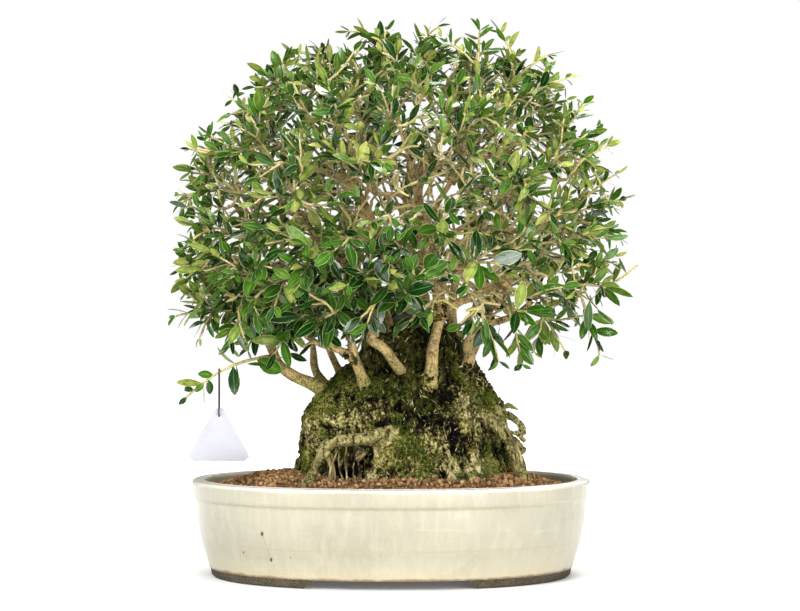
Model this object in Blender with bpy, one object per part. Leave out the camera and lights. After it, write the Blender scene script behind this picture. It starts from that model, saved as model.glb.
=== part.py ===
"""Olive bonsai: an old mossy stump with its limbs and a domed leafy crown, planted in a cream oval pot.

Metres, +Z up. The pot's feet stand on Z = 0, the photographed front looks along -Y, and the origin
lies under the middle of the whole outline. Everything is first built round the pot's own middle.
"""

import math
import random
from collections import defaultdict, namedtuple

import bmesh
import bpy
from mathutils import Matrix, Vector

GAP = 0.0003  # between pieces that touch

Limb = namedtuple("Limb", "points start_radius end_radius")
Twig = namedtuple("Twig", "start heading end radius nodes tip")
Node = namedtuple("Node", "share free_side leaves shoot")
Leaf = namedtuple("Leaf", "root direction normal length width droop")
End = namedtuple("End", "place outward")

# Pot: an oval drawn in from the rim's outline, as (inset, height) pairs
POT_LENGTH = 0.400
POT_WIDTH = 0.304
POT_SIDES = 48
OVAL_POWER = 2.2
RIM_HEIGHT = 0.0950
POT_UNDERSIDE = 0.0085
POT_FLOOR = 0.0180
POT_OUTSIDE = (
    (0.0182, POT_UNDERSIDE),
    (0.0145, 0.0210),
    (0.0105, 0.0335),
    (0.0086, 0.0415),
    (0.0048, 0.0620),
    (0.0038, 0.0760),
    (0.0012, 0.0790),
    (0.0000, 0.0925),
    (0.0016, RIM_HEIGHT),
)
POT_INSIDE = (
    (0.0122, RIM_HEIGHT),
    (0.0136, 0.0925),
    (0.0144, 0.0550),
    (0.0190, 0.0300),
    (0.0270, POT_FLOOR),
)

# Feet: a band under each end of the oval, cut away in the middle of both long sides
FOOT_PROFILE = ((0.0186, 0.0110), (0.0200, 0.0020), (0.0220, 0.0), (0.0400, 0.0), (0.0410, 0.0110))
FOOT_GAP_AT_FLOOR = 0.164
FOOT_GAP_AT_TOP = 0.141

# Drain holes in the pot's floor, each under a square mesh screen
DRAIN_RADIUS = 0.009
DRAIN_SIDES = 12
DRAIN_SPACING = 0.170
SCREEN_SIDE = 0.034
SCREEN_THICKNESS = 0.0012
SCREEN_CELLS = 3
SCREEN_BAR = 0.0018

# Soil
SOIL_EDGE = 0.0850
SOIL_TOP = 0.0915
SOIL_BUMP = 0.0016
SOIL_RINGS = 5

# Stump: height, middle in X, half length, half depth
STUMP_SIDES = 32
STUMP_RINGS = (
    (0.0850, 0.0160, 0.1120, 0.0900),
    (0.1020, 0.0150, 0.1105, 0.0890),
    (0.1230, 0.0125, 0.1060, 0.0870),
    (0.1430, 0.0100, 0.1010, 0.0840),
    (0.1620, 0.0085, 0.0965, 0.0790),
    (0.1770, 0.0090, 0.0880, 0.0720),
    (0.1900, 0.0140, 0.0790, 0.0640),
    (0.2040, 0.0165, 0.0670, 0.0560),
    (0.2180, 0.0170, 0.0560, 0.0500),
    (0.2320, 0.0240, 0.0430, 0.0420),
    (0.2460, 0.0290, 0.0300, 0.0330),
    (0.2580, 0.0290, 0.0170, 0.0210),
)
# Ridges that run down the stump: share of its radius, count round it, lean with height, phase
STUMP_RIDGES = ((0.030, 3, 6.0, 0.8), (0.034, 5, 18.0, -2.1), (0.034, 8, -25.0, 1.0))
# Hollows and knobs: angle in degrees, height, share of the radius, half width in degrees, half height
STUMP_SWELLS = (
    (-120.0, 0.112, -0.17, 13.0, 0.016),
    (-23.0, 0.106, -0.09, 8.0, 0.018),
    (-67.0, 0.180, -0.10, 11.0, 0.024),
    (-75.0, 0.098, 0.07, 24.0, 0.016),
    (-12.0, 0.172, 0.06, 16.0, 0.010),
    (-140.0, 0.160, 0.05, 16.0, 0.014),
    (115.0, 0.110, -0.12, 14.0, 0.018),
    (60.0, 0.165, 0.07, 18.0, 0.015),
)
# Root ball, which stands in the soil's hollow
BALL_MIDDLE = 0.0160
BALL_HALF_LENGTH = 0.082
BALL_HALF_DEPTH = 0.062
BALL_BOTTOM = 0.055
BALL_SIDES = 20
BALL_SIDE_RISE = 0.012  # how far it reaches up into the stump

# Roots that show, each as its points and its radius at the stump and at the end
ROOTS = (
    Limb(((0.004, -0.072, 0.146), (-0.012, -0.087, 0.1415), (-0.034, -0.092, 0.1385),
          (-0.0535, -0.0905, 0.1375), (-0.0630, -0.0900, 0.1300), (-0.0705, -0.0880, 0.1160),
          (-0.0790, -0.0850, 0.0980), (-0.0830, -0.0840, 0.0850)), 0.0050, 0.0046),
    Limb(((-0.030, -0.070, 0.128), (-0.0340, -0.0870, 0.1200), (-0.0330, -0.0890, 0.1060),
          (-0.0300, -0.0900, 0.0850)), 0.0042, 0.0034),
    Limb(((0.092, -0.030, 0.158), (0.1080, -0.0420, 0.1480), (0.1190, -0.0430, 0.1280),
          (0.1290, -0.0420, 0.1050), (0.1330, -0.0410, 0.0850)), 0.0052, 0.0048),
    Limb(((0.098, -0.004, 0.160), (0.1180, -0.0080, 0.1590), (0.1290, -0.0090, 0.1500),
          (0.1345, -0.0090, 0.1400)), 0.0046, 0.0022),
    Limb(((0.104, 0.012, 0.140), (0.1230, 0.0060, 0.1330), (0.1340, 0.0050, 0.1210)), 0.0040, 0.0020),
    Limb(((-0.060, 0.050, 0.150), (-0.0800, 0.0660, 0.1360), (-0.0900, 0.0680, 0.1100),
          (-0.0940, 0.0690, 0.0850)), 0.0055, 0.0046),
    Limb(((0.020, 0.070, 0.148), (0.0260, 0.0890, 0.1350), (0.0340, 0.0960, 0.1120),
          (0.0360, 0.0980, 0.0850)), 0.0060, 0.0050),
    Limb(((0.085, 0.050, 0.140), (0.1020, 0.0620, 0.1240), (0.1100, 0.0660, 0.0850)), 0.0052, 0.0044),
)

# Limbs, from inside the stump to where they fork in the crown
LIMBS = (
    Limb(((-0.058, -0.018, 0.176), (-0.0758, -0.0240, 0.1893), (-0.0960, -0.0300, 0.1984),
          (-0.1100, -0.0340, 0.2095), (-0.1187, -0.0360, 0.2277), (-0.1265, -0.0360, 0.2480),
          (-0.1320, -0.0340, 0.2740)), 0.0068, 0.0050),
    Limb(((-0.021, -0.046, 0.178), (-0.0275, -0.0600, 0.1960), (-0.0335, -0.0680, 0.2125),
          (-0.0375, -0.0700, 0.2267), (-0.0400, -0.0700, 0.2500),
          (-0.0460, -0.0640, 0.2850)), 0.0062, 0.0045),
    Limb(((-0.0345, -0.0680, 0.2150), (-0.0480, -0.0780, 0.2240), (-0.0667, -0.0870, 0.2297),
          (-0.0850, -0.0940, 0.2420)), 0.0036, 0.0028),
    Limb(((0.036, -0.046, 0.188), (0.0394, -0.0580, 0.2024), (0.0412, -0.0640, 0.2267),
          (0.0465, -0.0620, 0.2489),
          (0.0520, -0.0600, 0.2620), (0.0620, -0.0590, 0.2690), (0.0828, -0.0600, 0.2790),
          (0.1080, -0.0600, 0.2900)), 0.0074, 0.0050),
    Limb(((0.0490, -0.0610, 0.2540), (0.0480, -0.0570, 0.2720), (0.0460, -0.0500, 0.3000),
          (0.0400, -0.0440, 0.3300)), 0.0052, 0.0038),
    Limb(((0.068, -0.022, 0.204), (0.0775, -0.0320, 0.2146), (0.0760, -0.0370, 0.2307),
          (0.0828, -0.0400, 0.2408),
          (0.0980, -0.0440, 0.2500), (0.1240, -0.0500, 0.2600)), 0.0060, 0.0042),
    Limb(((-0.062, 0.024, 0.182), (-0.0778, 0.0360, 0.2024), (-0.0810, 0.0420, 0.2267),
          (-0.0880, 0.0500, 0.2700)), 0.0044, 0.0034),
    Limb(((-0.044, 0.042, 0.186), (-0.0566, 0.0560, 0.2065), (-0.0697, 0.0700, 0.2337),
          (-0.0850, 0.0860, 0.2600)), 0.0050, 0.0038),
    Limb(((0.054, 0.012, 0.212), (0.0646, 0.0250, 0.2337), (0.0620, 0.0300, 0.2620),
          (0.0700, 0.0400, 0.3050)), 0.0060, 0.0042),
    Limb(((0.022, -0.006, 0.244), (0.0120, -0.0060, 0.2680), (-0.0020, -0.0060, 0.3000),
          (-0.0140, -0.0020, 0.3400)), 0.0066, 0.0046),
    Limb(((0.034, 0.004, 0.246), (0.0340, 0.0080, 0.2700), (0.0300, 0.0140, 0.3100),
          (0.0340, 0.0120, 0.3500)), 0.0058, 0.0042),
    Limb(((0.008, 0.046, 0.190), (0.0060, 0.0640, 0.2120), (0.0000, 0.0840, 0.2440),
          (-0.0100, 0.1000, 0.2850)), 0.0060, 0.0044),
    Limb(((0.058, 0.042, 0.186), (0.0760, 0.0580, 0.2060), (0.0920, 0.0740, 0.2340),
          (0.1060, 0.0860, 0.2680)), 0.0056, 0.0042),
)
CUT_STUB = Limb(((0.014, -0.046, 0.200), (0.0045, -0.0700, 0.2110), (-0.0060, -0.0800, 0.2260),
                 (-0.0190, -0.0840, 0.2350), (-0.0150, -0.0850, 0.2440)), 0.0050, 0.0052)
LABEL_BRANCH = Limb(((-0.1125, -0.0345, 0.2130), (-0.1210, -0.0400, 0.2180), (-0.1300, -0.0440, 0.2165)),
                    0.0030, 0.0016)
LIMB_SIDES = 5
THIN_SIDES = 4
THIN_RADIUS = 0.0045  # branches that start thinner than this have fewer sides
LIMB_TAPER = 0.7  # under 1, so that a limb thins sooner near its start
BRANCH_END_RADIUS = 0.0016

# Crown: a dome over the stump, squarer than an ellipsoid
DOME_MIDDLE = Vector((0.0080, 0.0000, 0.3000))
DOME_HALF_LENGTH = 0.234
DOME_HALF_DEPTH = 0.200
DOME_ABOVE = 0.248
DOME_BELOW = 0.078
DOME_POWER = 2.5
SPRAYS = 42
SPRAY_START = (0.67, 0.76)  # share of the dome's radius where the wood ends and a leafy spray begins
LOWEST_SPRAY = -0.30  # how far below the dome's middle sprays start, as a share of its radius
LOWEST_LEAF = 0.165
SEED = 43

# Leafy sprays: three-sided twigs whose nodes carry opposite leaves and, low on the stem, a shoot
STEM_RADIUS = 0.0015
SHOOT_RADIUS = 0.0012
TWIG_SIDES = 3
TWIG_TAPER = 0.3
NODE_LENGTH = 0.0024
STEM_REACH = (0.87, 0.93)  # share of the dome's radius where a stem ends
STEM_NODES = (0.30, 0.56, 0.82)
SHOOT_NODES = (0.62,)
SHOOT_LENGTH = (0.026, 0.038)
SHOOTS_PER_STEM = 2
SHOOT_REACH = 0.95
LEAF_LENGTH = (0.026, 0.034)
LEAF_WIDTH_SHARE = 0.37
LEAF_THICKNESS = 0.0012
LEAF_LEAN = (40, 66)  # degrees off the twig
LEAF_DROOP = (0.02, 0.14)  # fall of the tip, as a share of the length
POSES = 14  # how many poses a leaf or shoot tries
LEAF_CLEARANCE = 0.0041
ROOT_CLEARANCE = 0.0009
TWIG_CLEARANCE = 0.0070
# Where a leaf is tested for room, as shares of its length and width
ROOT_SECTION = ((0.20, 0.6),)
BLADE_SECTIONS = ((0.34, 0.92), (0.50, 1.0), (0.66, 0.95), (0.82, 0.6), (1.0, 0.0))
BLADE_RINGS = (0.32, 0.70)  # shares of the length where a blade has its corners
BLADE_SPREAD = 0.46
CELL = 0.012  # side of the cells that keep track of what is where

# The low twig at the left carries a blank label on a loop of wire
LABEL_STEM_END = Vector((-0.2010, -0.0470, 0.1780))
LABEL_SHARE = 0.53  # where along the twig the wire hangs, on a bare node
LABEL_STEM_NODES = ((0.30, 0), (LABEL_SHARE, None), (0.76, 1))
LABEL_STEM_WAY = Vector((-0.8, -0.6, 0.0))
LABEL_WIDTH = 0.060
LABEL_HEIGHT = 0.052
LABEL_TOP_WIDTH = 0.008
LABEL_CORNER = 0.005
LABEL_THICKNESS = 0.0010
LABEL_HOLE_RADIUS = 0.0030
LABEL_HOLE_DROP = 0.0100
WIRE_RADIUS = 0.0008
WIRE_SIDES = 6
WIRE_LOOP_LENGTH = 0.040
WIRE_LOOP_RADIUS = 0.0032
WIRE_TURN_STEPS = 5


def clear_scene():
    for thing in list(bpy.data.objects):
        bpy.data.objects.remove(thing)


def material(name, colour, roughness, metallic=0.0):
    made = bpy.data.materials.new(name)
    made.use_nodes = True
    shader = made.node_tree.nodes["Principled BSDF"]
    shader.inputs["Base Color"].default_value = (*colour, 1.0)
    shader.inputs["Roughness"].default_value = roughness
    shader.inputs["Metallic"].default_value = metallic
    return made


def add_object(name, points, faces, finish=None):
    """A mesh object from points and faces, with its faces turned outward."""
    mesh = bpy.data.meshes.new(name)
    mesh.from_pydata([tuple(p) for p in points], [], faces)
    shape = bmesh.new()
    shape.from_mesh(mesh)
    bmesh.ops.recalc_face_normals(shape, faces=shape.faces)
    shape.to_mesh(mesh)
    shape.free()
    return link_object(name, mesh, finish)


def link_object(name, mesh, finish=None):
    if finish:
        mesh.materials.append(finish)
    thing = bpy.data.objects.new(name, mesh)
    bpy.context.scene.collection.objects.link(thing)
    return thing


def loft(rings, closed=False):
    """Points and faces of a skin over rings of equal count, capped at both ends or closed on itself."""
    count = len(rings[0])
    points = [p for ring in rings for p in ring]
    faces = []
    for k in range(len(rings) if closed else len(rings) - 1):
        low, high = k * count, ((k + 1) % len(rings)) * count
        for i in range(count):
            j = (i + 1) % count
            faces.append((low + i, low + j, high + j, high + i))
    if not closed:
        faces.append(tuple(range(count))[::-1])
        faces.append(tuple(range(len(points) - count, len(points))))
    return points, faces


def turns(count, start=0.0):
    return [start + 2 * math.pi * i / count for i in range(count)]


def ring_round(middle, across, over, radius, sides):
    return [middle + radius * (math.cos(t) * across + math.sin(t) * over) for t in turns(sides)]


def box(low, high):
    """Points and faces of a box between two opposite corners."""
    points = [(x, y, z) for x in (low[0], high[0]) for y in (low[1], high[1]) for z in (low[2], high[2])]
    return points, [(0, 1, 3, 2), (4, 6, 7, 5), (0, 4, 5, 1), (2, 3, 7, 6), (0, 2, 6, 4), (1, 5, 7, 3)]


def combine(thing, operation, shapes):
    """One Boolean of an object with all of these shapes, each given as its points and faces."""
    tools = bpy.data.collections.new("tools")
    bpy.context.scene.collection.children.link(tools)
    for shape in shapes:
        tool = add_object("tool", *shape)
        bpy.context.scene.collection.objects.unlink(tool)
        tools.objects.link(tool)
    modifier = thing.modifiers.new("combine", "BOOLEAN")
    modifier.operation = operation
    modifier.solver = "EXACT"
    modifier.operand_type = "COLLECTION"
    modifier.collection = tools
    graph = bpy.context.evaluated_depsgraph_get()
    thing.data = bpy.data.meshes.new_from_object(thing.evaluated_get(graph))
    thing.modifiers.clear()
    for tool in list(tools.objects):
        bpy.data.objects.remove(tool)
    bpy.data.collections.remove(tools)


def oval(inset, height):
    """The pot's outline drawn in by an inset, at a height."""
    ring = []
    for turn in turns(POT_SIDES):
        c, s = math.cos(turn), math.sin(turn)
        x = math.copysign(abs(c) ** (2 / OVAL_POWER), c) * (POT_LENGTH / 2 - inset)
        y = math.copysign(abs(s) ** (2 / OVAL_POWER), s) * (POT_WIDTH / 2 - inset)
        ring.append(Vector((x, y, height)))
    return ring


def tube_rings(points, radii, sides):
    """Rings round a line of points, carried along it without twist."""
    points = [Vector(p) for p in points]
    headings = [(points[min(i + 1, len(points) - 1)] - points[max(i - 1, 0)]).normalized()
                for i in range(len(points))]
    across = headings[0].orthogonal().normalized()
    rings = []
    for point, heading, radius in zip(points, headings, radii):
        across = (across - across.dot(heading) * heading).normalized()
        rings.append(ring_round(point, across, heading.cross(across), radius, sides))
    return rings


def shares_along(points):
    """The share of a line's length at each of its points."""
    run = [0.0]
    for a, b in zip(points, points[1:]):
        run.append(run[-1] + (Vector(b) - Vector(a)).length)
    return [r / run[-1] for r in run]


def limb_radii(limb):
    change = limb.end_radius - limb.start_radius
    return [limb.start_radius + change * share**LIMB_TAPER for share in shares_along(limb.points)]


def limb_shape(limb):
    sides = LIMB_SIDES if limb.start_radius > THIN_RADIUS else THIN_SIDES
    return loft(tube_rings(limb.points, limb_radii(limb), sides))


def foot_gap():
    """The wedge between the two feet, wider at the floor."""
    slope = (FOOT_GAP_AT_FLOOR - FOOT_GAP_AT_TOP) / 2 / POT_UNDERSIDE
    rings = []
    for y in (-POT_WIDTH, POT_WIDTH):
        low, high = -POT_UNDERSIDE / 2, POT_UNDERSIDE * 1.5
        at_low, at_high = (FOOT_GAP_AT_FLOOR / 2 - slope * z for z in (low, high))
        corners = ((-at_low, low), (at_low, low), (at_high, high), (-at_high, high))
        rings.append([Vector((x, y, z)) for x, z in corners])
    return loft(rings)


def drain_middles():
    return [side * DRAIN_SPACING / 2 for side in (-1, 1)]


def make_pot(finish):
    pot = add_object("pot", *loft([oval(*row) for row in POT_OUTSIDE + POT_INSIDE]), finish)
    feet = add_object("feet", *loft([oval(*row) for row in FOOT_PROFILE], closed=True))
    combine(feet, "DIFFERENCE", [foot_gap()])
    foot_points = [v.co for v in feet.data.vertices]
    foot_faces = [tuple(f.vertices) for f in feet.data.polygons]
    combine(pot, "UNION", [(foot_points, foot_faces)])
    bpy.data.objects.remove(feet)
    bores = []
    for x in drain_middles():
        ends = (Vector((x, 0, POT_UNDERSIDE / 2)), Vector((x, 0, POT_FLOOR * 1.5)))
        bores.append(loft([ring_round(end, Vector((1, 0, 0)), Vector((0, 1, 0)), DRAIN_RADIUS, DRAIN_SIDES)
                           for end in ends]))
    combine(pot, "DIFFERENCE", bores)


def make_screens(finish):
    """The two mesh squares that keep the soil off the drain holes."""
    cell = (SCREEN_SIDE - SCREEN_BAR) / SCREEN_CELLS
    low = POT_FLOOR + GAP
    half = SCREEN_SIDE / 2
    for name, x in zip(("drain_screen_left", "drain_screen_right"), drain_middles()):
        sheet = box((x - half, -half, low), (x + half, half, low + SCREEN_THICKNESS))
        screen = add_object(name, *sheet, finish)
        holes = []
        for i in range(SCREEN_CELLS):
            for j in range(SCREEN_CELLS):
                left, front = x - half + SCREEN_BAR + i * cell, -half + SCREEN_BAR + j * cell
                side = cell - SCREEN_BAR
                holes.append(box((left, front, low - SCREEN_THICKNESS),
                                 (left + side, front + side, low + 2 * SCREEN_THICKNESS)))
        combine(screen, "DIFFERENCE", holes)


def soil_height(share, turn):
    """The soil's surface from the pot's wall, at share 0, to the stump's foot, at share 1."""
    rise = min(share / 0.5, 1.0)
    level = SOIL_EDGE + (SOIL_TOP - SOIL_EDGE) * rise * rise * (3 - 2 * rise)
    bumpy = 0.0 if share == 0.0 else max(0.0, 1.0 - share / 0.45)
    waves = math.sin(23 * turn + 40 * share) + math.sin(37 * turn - 63 * share)
    return level + SOIL_BUMP * bumpy * waves / 2


def make_soil(finish):
    """Fills the pot, with a hollow for the root ball and one over each screen."""
    wall = [(inset + 1.5 * GAP, height) for inset, height in POT_INSIDE[::-1]]
    bottom = (wall[0][0], POT_FLOOR + GAP)
    rings = [oval(*bottom), oval(*wall[1]), oval(*wall[2])]
    edge = oval(wall[3][0], SOIL_EDGE)
    rings.append(edge)
    hollow = []
    for point in edge:
        turn = math.atan2(point.y / POT_WIDTH, point.x / POT_LENGTH)
        x = BALL_MIDDLE + (BALL_HALF_LENGTH + 2 * GAP) * math.cos(turn)
        hollow.append(Vector((x, (BALL_HALF_DEPTH + 2 * GAP) * math.sin(turn), SOIL_TOP)))
    for k in range(1, SOIL_RINGS + 1):
        share = k / SOIL_RINGS
        ring = [a.lerp(b, share) for a, b in zip(edge, hollow)]
        for point, turn in zip(ring, turns(POT_SIDES)):
            point.z = soil_height(share, turn)
        rings.append(ring)
    rings.append([Vector((p.x, p.y, BALL_BOTTOM - GAP)) for p in hollow])
    soil = add_object("soil", *loft(rings), finish)
    half = SCREEN_SIDE / 2 + GAP
    top = POT_FLOOR + SCREEN_THICKNESS + 2 * GAP
    hollows = [box((x - half, -half, 0), (x + half, half, top)) for x in drain_middles()]
    combine(soil, "DIFFERENCE", hollows)


def stump_swell(turn, height):
    """How far the stump's surface stands out there, as a share of its radius."""
    out = 0.0
    for size, count, lean, phase in STUMP_RIDGES:
        out += size * math.sin(count * turn + lean * height + phase)
    for degrees, middle, size, width, tall in STUMP_SWELLS:
        off = (math.degrees(turn) - degrees + 180.0) % 360.0 - 180.0
        out += size * math.exp(-0.5 * (off / width) ** 2 - 0.5 * ((height - middle) / tall) ** 2)
    return out


def stump_ring(height, middle, half_length, half_depth):
    ring = []
    for turn in turns(STUMP_SIDES):
        out = 1 + stump_swell(turn, height)
        x = middle + half_length * out * math.cos(turn)
        ring.append(Vector((x, half_depth * out * math.sin(turn), height)))
    return ring


def ball_ring(height):
    ring = []
    for turn in turns(BALL_SIDES):
        x = BALL_MIDDLE + BALL_HALF_LENGTH * math.cos(turn)
        ring.append(Vector((x, BALL_HALF_DEPTH * math.sin(turn), height)))
    return ring


def make_wood(branches, finish):
    """The stump with its roots and limbs, one grown piece that stands on the soil and reaches into it."""
    wood = add_object("stump_and_limbs", *loft([stump_ring(*row) for row in STUMP_RINGS]), finish)
    combine(wood, "UNION", [limb_shape(limb) for limb in (*ROOTS, CUT_STUB, LABEL_BRANCH, *branches)])
    reach = POT_LENGTH
    combine(wood, "DIFFERENCE", [box((-reach, -reach, 0), (reach, reach, SOIL_TOP + GAP))])
    combine(wood, "UNION", [loft([ball_ring(BALL_BOTTOM), ball_ring(SOIL_TOP + BALL_SIDE_RISE)])])


class Space:
    """The room that wood and leaves already take, as balls kept in cells."""

    def __init__(self):
        self.cells = defaultdict(list)

    def cell(self, point):
        return tuple(math.floor(c / CELL) for c in point)

    def fill(self, points, radius):
        for point in points:
            self.cells[self.cell(point)].append((point, radius))

    def is_clear(self, points, gap):
        steps = (-1, 0, 1)
        for point in points:
            x, y, z = self.cell(point)
            for key in ((x + i, y + j, z + k) for i in steps for j in steps for k in steps):
                for other, radius in self.cells.get(key, ()):
                    if (other - point).length < gap + radius:
                        return False
        return True


def dome_point(direction, share):
    """The point at a share of the way from the dome's middle to its surface, in a direction."""
    flat = math.hypot(direction.x / DOME_HALF_LENGTH, direction.y / DOME_HALF_DEPTH)
    tall = abs(direction.z) / (DOME_ABOVE if direction.z > 0 else DOME_BELOW)
    reach = (flat**DOME_POWER + tall**DOME_POWER) ** (-1 / DOME_POWER)
    return DOME_MIDDLE + direction * reach * share


def share_of_dome(point):
    away = point - DOME_MIDDLE
    return away.length / (dome_point(away.normalized(), 1.0) - DOME_MIDDLE).length


def any_way(draw):
    return Vector(draw.uniform(-1, 1) for _ in range(3))


def spray_directions(draw):
    """Directions spread evenly over the dome, from its top to its lower edge."""
    golden = math.pi * (3 - math.sqrt(5))
    found = []
    for i in range(SPRAYS):
        z = 1 - (i + 0.5) / SPRAYS * (1 - LOWEST_SPRAY)
        flat = math.sqrt(1 - z * z)
        turn = golden * i + draw.uniform(-0.15, 0.15)
        found.append(Vector((flat * math.cos(turn), flat * math.sin(turn), z)))
    return found


def middle_of(points):
    return sum(points, Vector()) / len(points)


def fork(path, radius, ends, draw, branches):
    """Carries a branch on from its path's last point, forking until each end has its own branch."""
    here = path[-1]
    heading = (path[-1] - path[-2]).normalized()
    if len(ends) == 1:
        way = ends[0].place - here
        last = (way.normalized() + ends[0].outward * 1.3).normalized() * way.length * 0.4
        branches.append(Limb((*path, ends[0].place - last, ends[0].place), radius, BRANCH_END_RADIUS))
        return
    middle = middle_of([end.place for end in ends])
    axis = max(ends, key=lambda end: (end.place - middle).length).place - middle
    near = [end for end in ends if (end.place - middle).dot(axis) > 0]
    far = [end for end in ends if (end.place - middle).dot(axis) <= 0]
    for k, group in enumerate(sorted((near, far), key=len, reverse=True)):
        way = middle_of([end.place for end in group]) - here
        step = here + way * 0.42 + (heading * way.length - way) * 0.12 + any_way(draw) * 0.10 * way.length
        if k == 0:
            fork([*path, step], radius, group, draw, branches)
        else:
            fork([here, step], max(radius * 0.72, BRANCH_END_RADIUS * 1.3), group, draw, branches)


def grow_wood(draw):
    """Each spray's direction and the branch that carries it, and all branches."""
    directions = spray_directions(draw)
    ends = [End(dome_point(way, draw.uniform(*SPRAY_START)), way) for way in directions]
    fed = defaultdict(list)
    for end in ends:
        nearest = min(LIMBS, key=lambda limb: (Vector(limb.points[-1]) - end.place).length)
        fed[nearest].append(end)
    branches = []
    for limb in LIMBS:
        if fed[limb]:
            fork([Vector(p) for p in limb.points], limb.start_radius, fed[limb], draw, branches)
        else:
            branches.append(limb)
    by_end = {tuple(branch.points[-1]): branch for branch in branches}
    return directions, [by_end[tuple(end.place)] for end in ends], branches


def along(limb, spacing=0.004):
    """Points every few millimetres on a limb, each with the limb's radius there."""
    found = []
    radii = limb_radii(limb)
    for a, b, start, end in zip(limb.points, limb.points[1:], radii, radii[1:]):
        a, b = Vector(a), Vector(b)
        steps = max(1, round((b - a).length / spacing))
        found += [(a.lerp(b, i / steps), start + (end - start) * i / steps) for i in range(steps)]
    return found


def twig_point(twig, share):
    """The point on a twig's curve, which leaves its start along its heading and bends to its end."""
    length = (twig.end - twig.start).length
    return twig.start.lerp(twig.end, share * share) + twig.heading * length * share * (1 - share)


def twig_heading(twig, share):
    length = (twig.end - twig.start).length
    return ((twig.end - twig.start) * 2 * share + twig.heading * length * (1 - 2 * share)).normalized()


def twig_radius(twig, share):
    return twig.radius * (1 - TWIG_TAPER * share)


def twig_ring(twig, share):
    """The corners of a twig's section."""
    heading = twig_heading(twig, share)
    across = twig.heading.orthogonal()
    across = (across - across.dot(heading) * heading).normalized()
    over = heading.cross(across)
    return ring_round(twig_point(twig, share), across, over, twig_radius(twig, share), TWIG_SIDES)


def side_way(twig, share, side):
    """Where one of a twig's sides faces."""
    corners = twig_ring(twig, share)
    middle = corners[side % TWIG_SIDES].lerp(corners[(side + 1) % TWIG_SIDES], 0.5)
    return (middle - twig_point(twig, share)).normalized()


def twig_samples(twig, first=0.0):
    count = max(2, round((twig.end - twig.start).length * (1 - first) / 0.004))
    return [twig_point(twig, first + (1 - first) * i / count) for i in range(count + 1)]


def leaf_samples(leaf, sections):
    """Points over a leaf's blade, three to a section, which is a share of its length and its width."""
    across = leaf.direction.cross(leaf.normal)
    found = []
    for share, width in sections:
        middle = leaf.root + leaf.direction * leaf.length * share - leaf.normal * leaf.droop * share**2
        side = across * leaf.width * width / 2
        found += [middle, middle + side, middle - side]
    return found


def find_stem(branch, direction, draw, space):
    """A spray's stem, from the end of its branch out to the dome, clear of other wood."""
    heading = (Vector(branch.points[-1]) - Vector(branch.points[-2])).normalized()
    start = Vector(branch.points[-1]) + heading * GAP
    for attempt in range(20):
        end = dome_point(direction, draw.uniform(*STEM_REACH)) + any_way(draw) * 0.003 * attempt
        stem = Twig(start, heading, end, STEM_RADIUS, (), None)
        if space.is_clear(twig_samples(stem, 0.2), TWIG_CLEARANCE):
            break
    space.fill(twig_samples(stem, 0.15), STEM_RADIUS)
    return stem


def find_shoot(stem, share, free_side, outward, draw, space):
    """A side shoot from the free side of a stem's node, or None where there is no room."""
    root = twig_point(stem, share)
    side = side_way(stem, share, free_side)
    for _ in range(POSES):
        heading = (twig_heading(stem, share) * 0.60 + side * 0.80 + any_way(draw) * 0.35).normalized()
        end = root + (heading + outward * 0.20).normalized() * draw.uniform(*SHOOT_LENGTH)
        shoot = Twig(root, heading, end, SHOOT_RADIUS, (), None)
        if heading.dot(side) < 0.4 or share_of_dome(end) > SHOOT_REACH or end.z < LOWEST_LEAF:
            continue
        if space.is_clear(twig_samples(shoot, 0.4), TWIG_CLEARANCE):
            space.fill(twig_samples(shoot, 0.12), SHOOT_RADIUS)
            nodes = [Node(at, draw.randrange(TWIG_SIDES), (), None) for at in SHOOT_NODES]
            return shoot._replace(nodes=nodes)
    return None


def with_shoots(stem, outward, draw, space):
    """The stem with its nodes, the lower ones with a shoot each."""
    nodes = []
    side = draw.randrange(TWIG_SIDES)
    for k, share in enumerate(STEM_NODES):
        shoot = None
        if k < SHOOTS_PER_STEM:
            for _ in range(TWIG_SIDES):
                shoot = find_shoot(stem, share, side, outward, draw, space)
                if shoot:
                    break
                side = (side + 1) % TWIG_SIDES
        nodes.append(Node(share, side, (), shoot))
        side = (side + 1) % TWIG_SIDES
    return stem._replace(nodes=nodes)


def find_leaf(root, heading, side, outward, draw, space):
    """Tries some poses for a leaf at one side of a twig, and gives the first that touches nothing."""
    for attempt in range(POSES):
        lean = math.radians(draw.uniform(*LEAF_LEAN))
        stray = any_way(draw) * (0.08 + 0.035 * attempt)
        direction = heading * math.cos(lean) + side * math.sin(lean) + stray
        direction.normalize()
        face = heading * 0.90 + outward * 0.30 + Vector((0, 0, 0.45)) + any_way(draw) * 0.30
        normal = (face - face.dot(direction) * direction).normalized()
        length = draw.uniform(*LEAF_LENGTH) * (1 - 0.02 * attempt)
        width = length * LEAF_WIDTH_SHARE * draw.uniform(0.90, 1.10)
        leaf = Leaf(root, direction, normal, length, width, length * draw.uniform(*LEAF_DROOP))
        samples = leaf_samples(leaf, BLADE_SECTIONS)
        if direction.dot(side) < 0.55 or min(p.z for p in samples) < LOWEST_LEAF:
            continue
        root_samples = leaf_samples(leaf, ROOT_SECTION)
        if space.is_clear(samples, LEAF_CLEARANCE) and space.is_clear(root_samples, ROOT_CLEARANCE):
            space.fill(samples, 0.0)
            return leaf
    return None


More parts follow.
